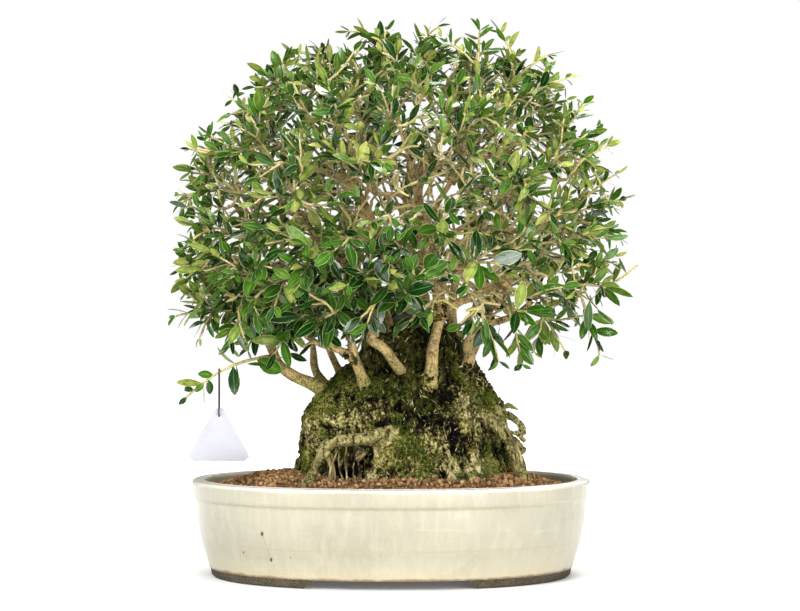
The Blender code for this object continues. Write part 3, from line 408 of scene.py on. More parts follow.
class Space:
    """The room that wood and leaves already take, as balls kept in cells."""

    def __init__(self):
        self.cells = defaultdict(list)

    def cell(self, point):
        return tuple(math.floor(c / CELL) for c in point)

    def fill(self, points, radius):
        for point in points:
            self.cells[self.cell(point)].append((point, radius))

    def is_clear(self, points, gap):
        steps = (-1, 0, 1)
        for point in points:
            x, y, z = self.cell(point)
            for key in ((x + i, y + j, z + k) for i in steps for j in steps for k in steps):
                for other, radius in self.cells.get(key, ()):
                    if (other - point).length < gap + radius:
                        return False
        return True


def dome_point(direction, share):
    """The point at a share of the way from the dome's middle to its surface, in a direction."""
    flat = math.hypot(direction.x / DOME_HALF_LENGTH, direction.y / DOME_HALF_DEPTH)
    tall = abs(direction.z) / (DOME_ABOVE if direction.z > 0 else DOME_BELOW)
    reach = (flat**DOME_POWER + tall**DOME_POWER) ** (-1 / DOME_POWER)
    return DOME_MIDDLE + direction * reach * share


def share_of_dome(point):
    away = point - DOME_MIDDLE
    return away.length / (dome_point(away.normalized(), 1.0) - DOME_MIDDLE).length


def any_way(draw):
    return Vector(draw.uniform(-1, 1) for _ in range(3))


def spray_directions(draw):
    """Directions spread evenly over the dome, from its top to its lower edge."""
    golden = math.pi * (3 - math.sqrt(5))
    found = []
    for i in range(SPRAYS):
        z = 1 - (i + 0.5) / SPRAYS * (1 - LOWEST_SPRAY)
        flat = math.sqrt(1 - z * z)
        turn = golden * i + draw.uniform(-0.15, 0.15)
        found.append(Vector((flat * math.cos(turn), flat * math.sin(turn), z)))
    return found


def middle_of(points):
    return sum(points, Vector()) / len(points)


def fork(path, radius, ends, draw, branches):
    """Carries a branch on from its path's last point, forking until each end has its own branch."""
    here = path[-1]
    heading = (path[-1] - path[-2]).normalized()
    if len(ends) == 1:
        way = ends[0].place - here
        last = (way.normalized() + ends[0].outward * 1.3).normalized() * way.length * 0.4
        branches.append(Limb((*path, ends[0].place - last, ends[0].place), radius, BRANCH_END_RADIUS))
        return
    middle = middle_of([end.place for end in ends])
    axis = max(ends, key=lambda end: (end.place - middle).length).place - middle
    near = [end for end in ends if (end.place - middle).dot(axis) > 0]
    far = [end for end in ends if (end.place - middle).dot(axis) <= 0]
    for k, group in enumerate(sorted((near, far), key=len, reverse=True)):
        way = middle_of([end.place for end in group]) - here
        step = here + way * 0.42 + (heading * way.length - way) * 0.12 + any_way(draw) * 0.10 * way.length
        if k == 0:
            fork([*path, step], radius, group, draw, branches)
        else:
            fork([here, step], max(radius * 0.72, BRANCH_END_RADIUS * 1.3), group, draw, branches)


def grow_wood(draw):
    """Each spray's direction and the branch that carries it, and all branches."""
    directions = spray_directions(draw)
    ends = [End(dome_point(way, draw.uniform(*SPRAY_START)), way) for way in directions]
    fed = defaultdict(list)
    for end in ends:
        nearest = min(LIMBS, key=lambda limb: (Vector(limb.points[-1]) - end.place).length)
        fed[nearest].append(end)
    branches = []
    for limb in LIMBS:
        if fed[limb]:
            fork([Vector(p) for p in limb.points], limb.start_radius, fed[limb], draw, branches)
        else:
            branches.append(limb)
    by_end = {tuple(branch.points[-1]): branch for branch in branches}
    return directions, [by_end[tuple(end.place)] for end in ends], branches


def along(limb, spacing=0.004):
    """Points every few millimetres on a limb, each with the limb's radius there."""
    found = []
    radii = limb_radii(limb)
    for a, b, start, end in zip(limb.points, limb.points[1:], radii, radii[1:]):
        a, b = Vector(a), Vector(b)
        steps = max(1, round((b - a).length / spacing))
        found += [(a.lerp(b, i / steps), start + (end - start) * i / steps) for i in range(steps)]
    return found


def twig_point(twig, share):
    """The point on a twig's curve, which leaves its start along its heading and bends to its end."""
    length = (twig.end - twig.start).length
    return twig.start.lerp(twig.end, share * share) + twig.heading * length * share * (1 - share)


def twig_heading(twig, share):
    length = (twig.end - twig.start).length
    return ((twig.end - twig.start) * 2 * share + twig.heading * length * (1 - 2 * share)).normalized()


def twig_radius(twig, share):
    return twig.radius * (1 - TWIG_TAPER * share)


def twig_ring(twig, share):
    """The corners of a twig's section."""
    heading = twig_heading(twig, share)
    across = twig.heading.orthogonal()
    across = (across - across.dot(heading) * heading).normalized()
    over = heading.cross(across)
    return ring_round(twig_point(twig, share), across, over, twig_radius(twig, share), TWIG_SIDES)


def side_way(twig, share, side):
    """Where one of a twig's sides faces."""
    corners = twig_ring(twig, share)
    middle = corners[side % TWIG_SIDES].lerp(corners[(side + 1) % TWIG_SIDES], 0.5)
    return (middle - twig_point(twig, share)).normalized()


def twig_samples(twig, first=0.0):
    count = max(2, round((twig.end - twig.start).length * (1 - first) / 0.004))
    return [twig_point(twig, first + (1 - first) * i / count) for i in range(count + 1)]


def leaf_samples(leaf, sections):
    """Points over a leaf's blade, three to a section, which is a share of its length and its width."""
    across = leaf.direction.cross(leaf.normal)
    found = []
    for share, width in sections:
        middle = leaf.root + leaf.direction * leaf.length * share - leaf.normal * leaf.droop * share**2
        side = across * leaf.width * width / 2
        found += [middle, middle + side, middle - side]
    return found


def find_stem(branch, direction, draw, space):
    """A spray's stem, from the end of its branch out to the dome, clear of other wood."""
    heading = (Vector(branch.points[-1]) - Vector(branch.points[-2])).normalized()
    start = Vector(branch.points[-1]) + heading * GAP
    for attempt in range(20):
        end = dome_point(direction, draw.uniform(*STEM_REACH)) + any_way(draw) * 0.003 * attempt
        stem = Twig(start, heading, end, STEM_RADIUS, (), None)
        if space.is_clear(twig_samples(stem, 0.2), TWIG_CLEARANCE):
            break
    space.fill(twig_samples(stem, 0.15), STEM_RADIUS)
    return stem


def find_shoot(stem, share, free_side, outward, draw, space):
    """A side shoot from the free side of a stem's node, or None where there is no room."""
    root = twig_point(stem, share)
    side = side_way(stem, share, free_side)
    for _ in range(POSES):
        heading = (twig_heading(stem, share) * 0.60 + side * 0.80 + any_way(draw) * 0.35).normalized()
        end = root + (heading + outward * 0.20).normalized() * draw.uniform(*SHOOT_LENGTH)
        shoot = Twig(root, heading, end, SHOOT_RADIUS, (), None)
        if heading.dot(side) < 0.4 or share_of_dome(end) > SHOOT_REACH or end.z < LOWEST_LEAF:
            continue
        if space.is_clear(twig_samples(shoot, 0.4), TWIG_CLEARANCE):
            space.fill(twig_samples(shoot, 0.12), SHOOT_RADIUS)
            nodes = [Node(at, draw.randrange(TWIG_SIDES), (), None) for at in SHOOT_NODES]
            return shoot._replace(nodes=nodes)
    return None


def with_shoots(stem, outward, draw, space):
    """The stem with its nodes, the lower ones with a shoot each."""
    nodes = []
    side = draw.randrange(TWIG_SIDES)
    for k, share in enumerate(STEM_NODES):
        shoot = None
        if k < SHOOTS_PER_STEM:
            for _ in range(TWIG_SIDES):
                shoot = find_shoot(stem, share, side, outward, draw, space)
                if shoot:
                    break
                side = (side + 1) % TWIG_SIDES
        nodes.append(Node(share, side, (), shoot))
        side = (side + 1) % TWIG_SIDES
    return stem._replace(nodes=nodes)


def find_leaf(root, heading, side, outward, draw, space):
    """Tries some poses for a leaf at one side of a twig, and gives the first that touches nothing."""
    for attempt in range(POSES):
        lean = math.radians(draw.uniform(*LEAF_LEAN))
        stray = any_way(draw) * (0.08 + 0.035 * attempt)
        direction = heading * math.cos(lean) + side * math.sin(lean) + stray
        direction.normalize()
        face = heading * 0.90 + outward * 0.30 + Vector((0, 0, 0.45)) + any_way(draw) * 0.30
        normal = (face - face.dot(direction) * direction).normalized()
        length = draw.uniform(*LEAF_LENGTH) * (1 - 0.02 * attempt)
        width = length * LEAF_WIDTH_SHARE * draw.uniform(0.90, 1.10)
        leaf = Leaf(root, direction, normal, length, width, length * draw.uniform(*LEAF_DROOP))
        samples = leaf_samples(leaf, BLADE_SECTIONS)
        if direction.dot(side) < 0.55 or min(p.z for p in samples) < LOWEST_LEAF:
            continue
        root_samples = leaf_samples(leaf, ROOT_SECTION)
        if space.is_clear(samples, LEAF_CLEARANCE) and space.is_clear(root_samples, ROOT_CLEARANCE):
            space.fill(samples, 0.0)
            return leaf
    return None


def with_leaves(twig, outward, draw, space):
    """The twig with opposite leaves at its nodes and one at its tip."""
    nodes = []
    for node in twig.nodes:
        if node.free_side is None:
            nodes.append(node)
            continue
        heading = twig_heading(twig, node.share)
        free = side_way(twig, node.share, node.free_side)
        root = twig_point(twig, node.share)
        leaves = [find_leaf(root, heading, side, outward, draw, space)
                  for side in (heading.cross(free), free.cross(heading))]
        shoot = node.shoot and with_leaves(node.shoot, outward, draw, space)
        nodes.append(Node(node.share, node.free_side, leaves, shoot))
    heading = twig_heading(twig, 1.0)
    return twig._replace(nodes=nodes, tip=find_leaf(twig.end, heading, heading, outward, draw, space))


def label_stem():
    before, last = (Vector(p) for p in LABEL_BRANCH.points[-2:])
    heading = (last - before).normalized()
    nodes = [Node(share, side, (), None) for share, side in LABEL_STEM_NODES]
    return Twig(last + heading * GAP, heading, LABEL_STEM_END, STEM_RADIUS, nodes, None)


def grow_crown():
    """The wood's branches, and every spray as a stem with its shoots and leaves."""
    draw = random.Random(SEED)
    directions, carriers, branches = grow_wood(draw)
    space = Space()
    for limb in (*branches, CUT_STUB, LABEL_BRANCH):
        for point, radius in along(limb):
            if (point - Vector(limb.points[-1])).length > 0.006:
                space.fill([point], radius)
    stems = [find_stem(branch, way, draw, space) for branch, way in zip(carriers, directions)]
    stems.append(label_stem())
    space.fill(twig_samples(stems[-1], 0.1), STEM_RADIUS)
    space.fill(label_room(), 0.004)
    directions.append(LABEL_STEM_WAY)
    ways = list(zip(stems, directions))
    stems = [stem if stem.nodes else with_shoots(stem, way, draw, space) for stem, way in ways]
    return branches, [with_leaves(stem, way, draw, space) for stem, way in zip(stems, directions)]


def loop_ends():
    """The middles of the wire loop's upper and lower turns, with the twig in the upper one."""
    stem = label_stem()
    seat = twig_point(stem, LABEL_SHARE)
    room = WIRE_LOOP_RADIUS - WIRE_RADIUS - 4 * GAP - twig_radius(stem, LABEL_SHARE)
    upper = seat - Vector((0, 0, room))
    return upper, upper - Vector((0, 0, WIRE_LOOP_LENGTH))


def loop_points():
    """The wire's loop, seen edge on from the front: two straight runs between two half turns."""
    upper, lower = loop_ends()
    points = []
    for middle, start in ((upper, 0.0), (lower, math.pi)):
        for i in range(WIRE_TURN_STEPS + 1):
            turn = start + math.pi * i / WIRE_TURN_STEPS
            points.append(middle + WIRE_LOOP_RADIUS * Vector((0, math.cos(turn), math.sin(turn))))
    return points


def label_hole():
    """The middle of the label's hole, whose upper edge hangs on the bottom of the loop."""
    return loop_ends()[1] + Vector((0, 0, WIRE_RADIUS + GAP - WIRE_LOOP_RADIUS - LABEL_HOLE_RADIUS))


def label_outline():
    """The label's corners round its hole: a triangle with its own corners cut."""
    top = LABEL_HOLE_DROP
    foot = top - LABEL_HEIGHT
    half, corner = LABEL_WIDTH / 2, LABEL_CORNER
    return [(-LABEL_TOP_WIDTH / 2, top), (-half, foot + corner), (-half + corner, foot),
            (half - corner, foot), (half, foot + corner), (LABEL_TOP_WIDTH / 2, top)]


def label_room():
    """Points over the label and its wire, which leaves keep clear of."""
    points = loop_points()
    for i in range(-5, 6):
        for j in range(8):
            drop = LABEL_HOLE_DROP - LABEL_HEIGHT * j / 7
            points.append(label_hole() + Vector((i * LABEL_WIDTH / 10, 0, drop)))
    upper, lower = loop_ends()
    return points + [upper.lerp(lower, i / 8) for i in range(9)]


def deselect():
    bpy.ops.object.select_all(action="DESELECT")


def pick(*things):
    """Selects these objects alone, the first one active."""
    deselect()
    for thing in things:
        thing.select_set(True)
    bpy.context.view_layer.objects.active = things[0]


def primitive(kind, location=(0, 0, 0), **values):
    """Adds one of Blender's own meshes, selected alone."""
    deselect()
    getattr(bpy.ops.mesh, f"primitive_{kind}_add")(location=location, **values)
    return bpy.context.object


def add_object(name, data):
    thing = bpy.data.objects.new(name, data)
    bpy.context.scene.collection.objects.link(thing)
    return thing


def add_mesh(name, points, faces):
    mesh = bpy.data.meshes.new(name)
    mesh.from_pydata(points.tolist(), [], faces.tolist())
    return add_object(name, mesh)


def face_outwards(thing):
    pick(thing)
    bpy.ops.object.mode_set(mode="EDIT")
    bpy.ops.mesh.select_all(action="SELECT")
    bpy.ops.mesh.normals_make_consistent(inside=False)
    bpy.ops.object.mode_set(mode="OBJECT")


def read_all(items, key, width=1, kind=np.float32):
    """One property of all of a mesh's points, loops or faces, in one row."""
    values = np.zeros(len(items) * width, kind)
    items.foreach_get(key, values)
    return values


def clamp(value, low=0.0, high=1.0):
    return max(low, min(high, value))


def apply_modifier(thing, kind, **values):
    pick(thing)
    modifier = thing.modifiers.new(kind.lower(), kind)
    for key, value in values.items():
        setattr(modifier, key, value)
    bpy.ops.object.modifier_apply(modifier=modifier.name)


def cut_with(thing, operation, tool):
    """Applies one Boolean and removes the tool."""
    apply_modifier(thing, "BOOLEAN", operation=operation, solver="EXACT", object=tool)
    bpy.data.objects.remove(tool)


def drawn_up(name, sides, rows, place, closed=False):
    """A skin drawn up from a circle by one extrusion a row, whose corners then go to place(turn, row)."""
    thing = primitive("circle", vertices=sides, radius=1.0, fill_type="NOTHING")
    thing.name = thing.data.name = name
    bpy.ops.object.mode_set(mode="EDIT")
    bpy.ops.mesh.select_all(action="SELECT")
    for _ in range(rows - 1):
        bpy.ops.mesh.extrude_region_move(TRANSFORM_OT_translate={"value": (0, 0, 1)})
    bpy.ops.mesh.select_all(action="DESELECT")
    bpy.ops.mesh.select_mode(type="EDGE")
    bpy.ops.mesh.select_non_manifold()
    if closed:
        bpy.ops.mesh.bridge_edge_loops()
    else:
        bpy.ops.mesh.fill_holes(sides=0)
    bpy.ops.object.mode_set(mode="OBJECT")
    for vert in thing.data.vertices:
        vert.co = place(math.atan2(vert.co.y, vert.co.x), round(vert.co.z))
    face_outwards(thing)
    return thing


def tubes(name, lines, detail):
    """Round tubes along lines of (point, radius), drawn as one curve with a bevel and made a mesh."""
    curve = bpy.data.curves.new(name, "CURVE")
    curve.dimensions = "3D"
    curve.bevel_depth = 1.0
    curve.bevel_resolution = detail
    curve.use_fill_caps = True
    for line in lines:
        spline = curve.splines.new("POLY")
        spline.points.add(len(line) - 1)
        spline.points.foreach_set("co", [c for point, _ in line for c in (*point, 1.0)])
        spline.points.foreach_set("radius", [radius for _, radius in line])
    pick(add_object(name, curve))
    bpy.ops.object.convert(target="MESH")
    return bpy.context.object


def mottled_tubes(name, lines, detail, middle, swing, scale):
    """Smooth tubes whose shade wanders from place to place."""
    made = tubes(name, lines, detail)
    keep_shade(made.data, [middle + swing * noise.noise(v.co * scale) for v in made.data.vertices])
    made.data.polygons.foreach_set("use_smooth", [True] * len(made.data.polygons))
    return made


def shade(thing, degrees=40.0):
    pick(thing)
    bpy.ops.object.shade_smooth_by_angle(angle=math.radians(degrees))


def finish_piece(thing, slot, materials, *nodes):
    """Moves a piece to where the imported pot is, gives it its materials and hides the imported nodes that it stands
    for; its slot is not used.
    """
    thing.data.materials.clear()
    for look in materials:
        thing.data.materials.append(look)
    thing.data.transform(Matrix.Translation(SHIFT))
    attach(thing, "root")
    if nodes:
        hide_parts(*nodes)
    return thing


def scaled(colour, share):
    """A colour made darker or lighter."""
    return tuple(min(1.0, c * share) for c in colour)


class Look:
    """A material under construction, on object coordinates, and the base colour painted so far."""

    def __init__(self, name, base):
        self.material = bpy.data.materials.new(name)
        self.material.use_nodes = True
        self.tree = self.material.node_tree
        self.shader = self.tree.nodes["Principled BSDF"]
        self.place = self.node("ShaderNodeTexCoord", {}, "Object")
        self.base = base

    def feed(self, socket, value):
        if isinstance(value, bpy.types.NodeSocket):
            self.tree.links.new(value, socket)
        elif socket.type == "RGBA" and len(value) == 3:
            socket.default_value = (*value, 1.0)
        else:
            socket.default_value = value

    def node(self, kind, fed, output=0, **values):
        """One output of a new node, whose inputs are fed by name or number."""
        made = self.tree.nodes.new(kind)
        for key, value in values.items():
            setattr(made, key, value)
        for key, value in fed.items():
            self.feed(made.inputs[key], value)
        return made.outputs[output]

    def finish(self, **values):
        """Feeds the shader the base colour and its own sockets, named with underscores."""
        for key, value in (("Base Color", self.base), *values.items()):
            self.feed(self.shader.inputs[key.replace("_", " ")], value)
        return self.material

    def noise(self, scale, detail=3.0, rough=0.55, stretch=None):
        fed = {"Vector": self.stretched(stretch), "Scale": scale, "Detail": detail, "Roughness": rough}
        return self.node("ShaderNodeTexNoise", fed)

    def cells(self, scale, feature="F1", stretch=None):
        fed = {"Vector": self.stretched(stretch), "Scale": scale}
        return self.node("ShaderNodeTexVoronoi", fed, "Distance", feature=feature)

    def stretched(self, stretch):
        return self.node("ShaderNodeMapping", {"Vector": self.place, "Scale": stretch}) if stretch else self.place

    def part(self, axis):
        return self.node("ShaderNodeSeparateXYZ", {0: self.place}, axis)

    def read(self, attribute):
        return self.node("ShaderNodeAttribute", {}, "Fac", attribute_name=attribute)

    def vector(self, operation, a, b=(0.0, 0.0, 0.0), output=0):
        return self.node("ShaderNodeVectorMath", {0: a, 1: b}, output, operation=operation)

    def near(self, x, z):
        """How far a point lies from a spot of the pot's front, seen from the front and drawn out in height."""
        away = self.vector("SUBTRACT", self.place, (x + SHIFT.x, 0.0, z))
        return self.vector("LENGTH", self.vector("MULTIPLY", away, (1.0, 0.0, PIT_SQUEEZE)), output="Value")

    def span(self, value, low, high, to_low=0.0, to_high=1.0):
        """Maps low to high smoothly on to the other two values."""
        fed = dict(enumerate((value, low, high, to_low, to_high)))
        return self.node("ShaderNodeMapRange", fed, interpolation_type="SMOOTHSTEP")

    def calc(self, operation, *values):
        return self.node("ShaderNodeMath", dict(enumerate(values)), operation=operation)

    def mix(self, *parts, start=0.0):
        """A starting value plus every (value, weight) pair's product."""
        for value, weight in parts:
            start = self.calc("MULTIPLY_ADD", value, weight, start)
        return start

    def blend(self, share, a, b):
        return self.node("ShaderNodeMix", {0: share, 6: a, 7: b}, 2, data_type="RGBA")

    def paint(self, colour, share, *span):
        """Lays a colour over the base by a share, or by a value that a span makes a share."""
        self.base = self.blend(self.span(share, *span) if span else share, self.base, colour)

    def bump(self, height, depth, strength=1.0):
        return self.node("ShaderNodeBump", {"Strength": strength, "Distance": depth, "Height": height})


def look_glaze(colour):
    """Cream glaze with fine crackle, faint streaks, a painted highlight along the rim, painted shade in the groove
    under the lip, four firing pits, and brown where it thins out.
    """
    look = Look("cream_glaze", scaled(colour, 0.90))
    across, height = look.part("X"), look.part("Z")
    streaks = look.noise(150.0, 4.0, 0.65, stretch=(1.0, 1.0, 0.16))
    cloud = look.noise(13.0, 3.0)
    runs = look.noise(26.0, 4.0, 0.6, stretch=(0.5, 0.5, 4.5))
    look.paint(colour, cloud, 0.35, 0.65)
    look.paint(scaled(colour, 1.22), streaks, 0.40, 0.70, 0.0, 0.42)
    look.paint((0.47, 0.42, 0.27), streaks, 0.28, 0.46, 0.30, 0.0)
    look.paint((0.66, 0.57, 0.34), runs, 0.60, 0.72, 0.0, 0.22)
    wavy_height = look.mix((height, 1.0), (cloud, 0.004), start=-0.002)
    # The top line is painted shade in the groove under the lip; the two lower ones are darker lines in the glaze.
    for middle, half, share in GLAZE_LINES_AND_LIP_SHADE:
        off = look.calc("ABSOLUTE", look.calc("SUBTRACT", wavy_height, middle))
        look.paint((0.36, 0.34, 0.19), off, 0.0, half, share, 0.0)
    # Painted highlight: a pale line along the rim's rounded top edge.
    look.paint((0.74, 0.70, 0.62), look.mix((cloud, 0.003), start=height), 0.0925, 0.0960)
    look.paint((0.74, 0.64, 0.44), height, 0.0090, 0.0380, 0.35, 0.0)
    thin = look.mix((look.noise(75.0, 4.0), -0.0052), start=height)
    look.paint((0.22, 0.12, 0.045), thin, 0.0064, 0.0090, 0.90, 0.0)
    crackle = look.cells(300.0, "DISTANCE_TO_EDGE", stretch=(1.0, 1.0, 0.7))
    look.paint((0.42, 0.35, 0.20), crackle, 0.0, 0.05, 0.20, 0.0)
    look.paint((0.30, 0.20, 0.10), look.cells(105.0), 0.030, 0.055, 0.5, 0.0)
    scratches = look.span(look.noise(95.0, 3.0, 0.6, stretch=(0.10, 0.10, 4.0)), 0.62, 0.68, 0.0, 0.55)
    look.paint((0.42, 0.36, 0.20), look.calc("MULTIPLY", scratches, look.span(across, 0.105, 0.150)))
    front = look.span(look.part("Y"), -0.06, -0.05, 1.0, 0.0)
    for x, z, radius in GLAZE_PITS:
        pit = look.span(look.near(x, z), radius * 0.6, radius, 0.95, 0.0)
        look.paint((0.075, 0.040, 0.025), look.calc("MULTIPLY", pit, front))
    (x, top, _), (end, foot, _) = GLAZE_PITS[:2]
    lean = (end - x) / (foot - top)
    off = look.calc("ABSOLUTE", look.mix((across, 1.0), (height, -lean), start=top * lean - x - SHIFT.x))
    above, below = look.span(height, foot, foot + 0.004), look.span(height, top - 0.002, top, 1.0, 0.0)
    hairline = look.calc("MULTIPLY", look.span(off, 0.0002, 0.0008, 0.5, 0.0), look.calc("MULTIPLY", above, below))
    look.paint((0.33, 0.25, 0.13), look.calc("MULTIPLY", hairline, front))
    relief = look.mix((streaks, 0.6), (runs, 0.6), start=cloud)
    return look.finish(Roughness=look.span(cloud, 0.2, 0.8, 0.22, 0.36), Coat_Weight=0.25, Coat_Roughness=0.10,
                       Normal=look.bump(relief, 0.0018, 0.6))


def look_clay(colour):
    """Bare sandy clay of the feet and the underside, with pale grit and faint rusty patches."""
    look = Look("bare_clay", scaled(colour, 0.35))
    grain = look.noise(850.0, 4.0, 0.75)
    look.paint(scaled(colour, 1.5), grain, 0.38, 0.60)
    look.paint((0.46, 0.42, 0.33), grain, 0.60, 0.70)
    look.paint((0.20, 0.135, 0.08), look.noise(90.0, 3.0), 0.50, 0.66, 0.0, 0.25)
    return look.finish(Roughness=0.92, Normal=look.bump(grain, 0.0012))


def look_soil(colour):
    """Red-brown baked granules, each grain of its own shade."""
    look = Look("red_brown_granules", scaled(colour, 0.22))
    own, grain = look.read("shade"), look.noise(700.0, 3.0, 0.65)
    look.paint(scaled(colour, 1.55), own)
    look.paint((0.60, 0.46, 0.28), own, 0.88, 0.95, 0.0, 0.6)
    look.paint((0.50, 0.33, 0.18), grain, 0.4, 0.75, 0.0, 0.45)
    return look.finish(Roughness=0.95, Normal=look.bump(grain, 0.0008))


def look_stump(bark, moss, lichen):
    """Dark fissured bark that crumbles to pale tan, under moss and ochre lichen, with bare yellowish roots, and painted
    shade that blackens its fissures, crevices and hollows.
    """
    look = Look("mossy_bark", scaled(bark, 0.03))
    high, moss_share, bare, own = (look.read(name) for name in ("relief", "moss", "bare", "tone"))
    fine = look.noise(1000.0, 4.0, 0.78)
    speck = look.noise(360.0, 4.0, 0.72)
    fibre = look.noise(220.0, 4.0, 0.72, stretch=(1.0, 1.0, 0.32))
    mid = look.noise(130.0, 4.0, 0.65)
    wide = look.noise(34.0, 3.0)
    crack = look.cells(105.0, "DISTANCE_TO_EDGE", stretch=(1.0, 1.0, 0.40))
    # Relief lifts the tone, so raised bark is painted paler and sunken bark darker: partly weathered bark, partly
    # painted shade.
    tone = look.mix((speck, 1.2), (fine, 0.7), (fibre, 0.8), (high, 0.40), (own, 1.0), start=-0.5)
    look.paint(bark, tone, 1.42, 1.62)
    look.paint((0.30, 0.28, 0.06), tone, 1.58, 1.70)
    look.paint((0.88, 0.77, 0.42), tone, 1.69, 1.86)
    green = look.blend(look.span(fine, 0.42, 0.56), scaled(moss, 0.10), moss)
    green = look.blend(look.span(speck, 0.50, 0.64), green, lichen)
    look.paint(green, look.mix((moss_share, 1.0), (mid, 1.8), start=-0.9), 0.36, 0.56, 0.0, 0.90)
    crust = look.span(look.mix((wide, 1.0), (mid, 0.6), start=-0.3), 0.54, 0.62)
    ochre = look.blend(look.span(speck, 0.42, 0.58), (0.15, 0.13, 0.025), (0.76, 0.68, 0.22))
    look.paint(ochre, look.calc("MULTIPLY", crust, look.span(high, 0.40, 0.65, 0.0, 0.9)))
    # Painted shade: the fissures between the bark's plates are blackened.
    fissure_shade = look.calc("MULTIPLY", look.span(crack, 0.01, 0.11, 1.0, 0.0), look.span(wide, 0.45, 0.60, 0.6, 0.0))
    look.paint(scaled(bark, 0.04), fissure_shade)
    dark = look.blend(look.span(look.calc("ADD", fibre, fine), 0.92, 1.12), scaled(bark, 0.03), (0.11, 0.125, 0.018))
    look.paint(dark, own, 0.28, 0.49, 0.92, 0.0)
    skin = look.span(look.calc("ADD", speck, fibre), 0.82, 1.12)
    skin = look.blend(skin, (0.07, 0.06, 0.018), (0.72, 0.64, 0.28))
    skin = look.blend(look.span(look.calc("ADD", speck, mid), 1.02, 1.14, 0.0, 0.7), skin, green)
    look.paint(skin, bare, 0.35, 0.70)
    # Painted shade: crevices and the hollows, which lie lowest, are blackened.
    look.paint(scaled(bark, 0.02), high, 0.08, 0.44, 1.0, 0.0)
    relief = look.mix((fine, 0.6), (speck, 1.0), (fibre, 1.0), start=look.span(crack, 0.0, 0.15, -0.4, 0.0))
    return look.finish(Roughness=0.95, Specular_IOR_Level=0.12, Normal=look.bump(relief, 0.0040))


def look_moss(moss, lichen):
    """Moss blades from dark green through bright green to straw."""
    look = Look("moss_tufts", scaled(moss, 0.30))
    own = look.read("shade")
    look.paint(scaled(moss, 1.25), own, 0.0, 0.55)
    look.paint(lichen, own, 0.55, 1.0)
    return look.finish(Roughness=0.9, Specular_IOR_Level=0.15)


def look_litter():
    """Dry fibres and bark chips, from dark brown to straw, each of its own shade."""
    look = Look("dry_litter", (0.035, 0.025, 0.010))
    own = look.read("shade")
    look.paint((0.22, 0.17, 0.075), own, 0.0, 0.5)
    look.paint((0.62, 0.53, 0.31), own, 0.5, 1.0)
    return look.finish(Roughness=0.85, Specular_IOR_Level=0.2)


def look_limbs(bark, moss):
    """Tan bark with dark pores, flaking pale skin and grey stains, greened with moss near the stump."""
    look = Look("tan_bark", scaled(bark, 0.32))
    mid, fine = look.noise(95.0, 4.0, 0.65), look.noise(520.0, 4.0, 0.72)
    look.paint(scaled(bark, 1.15), mid, 0.38, 0.62)
    look.paint((0.74, 0.60, 0.29), fine, 0.47, 0.64, 0.0, 0.60)
    look.paint((0.10, 0.065, 0.025), fine, 0.32, 0.42, 0.60, 0.0)
    look.paint((0.045, 0.03, 0.015), look.cells(260.0, stretch=(1.0, 1.0, 1.7)), 0.16, 0.24, 0.85, 0.0)
    green = look.blend(look.span(fine, 0.40, 0.60), scaled(moss, 0.5), (0.50, 0.45, 0.14))
    low = look.mix((look.part("Z"), 1.0), (mid, 0.10), start=-0.05)
    look.paint(green, low, 0.180, 0.222, 0.75, 0.0)
    relief = look.mix((fine, 0.5), start=mid)
    return look.finish(Roughness=0.82, Specular_IOR_Level=0.22, Normal=look.bump(relief, 0.0030))


def look_twigs(bark):
    """Thin twigs: tan to greenish yellow young wood, each of its own shade."""
    look = Look("young_bark", scaled(bark, 0.35))
    own, fine = look.read("shade"), look.noise(420.0, 3.0, 0.6)
    look.paint(bark, own, 0.1, 0.6)
    look.paint((0.50, 0.44, 0.14), own, 0.55, 0.9)
    look.paint((0.74, 0.66, 0.36), fine, 0.45, 0.70, 0.0, 0.6)
    look.paint((0.12, 0.10, 0.035), fine, 0.30, 0.42, 0.5, 0.0)
    return look.finish(Roughness=0.75, Specular_IOR_Level=0.3, Normal=look.bump(fine, 0.0006))


def look_cut_wood():
    look = Look("cut_wood", (0.30, 0.20, 0.09))
    rings = look.noise(420.0, 2.0)
    look.paint((0.62, 0.48, 0.28), rings)
    return look.finish(Roughness=0.8, Normal=look.bump(rings, 0.0004))


def look_char():
    look = Look("charred_wood", (0.006, 0.006, 0.006))
    grain = look.noise(260.0, 4.0, stretch=(0.25, 1.0, 1.0))
    look.paint((0.055, 0.048, 0.042), grain)
    return look.finish(Roughness=0.7, Normal=look.bump(grain, 0.0020))


def leaf_axes(look):
    """How far a point lies from the midrib, 0 to 1, and how far along the blade."""
    place = look.node("ShaderNodeUVMap", {}, uv_map="blade")
    across, up = (look.node("ShaderNodeSeparateXYZ", {0: place}, axis) for axis in "XY")
    return look.calc("MULTIPLY", look.calc("ABSOLUTE", look.calc("SUBTRACT", across, 0.5)), 2.0), up


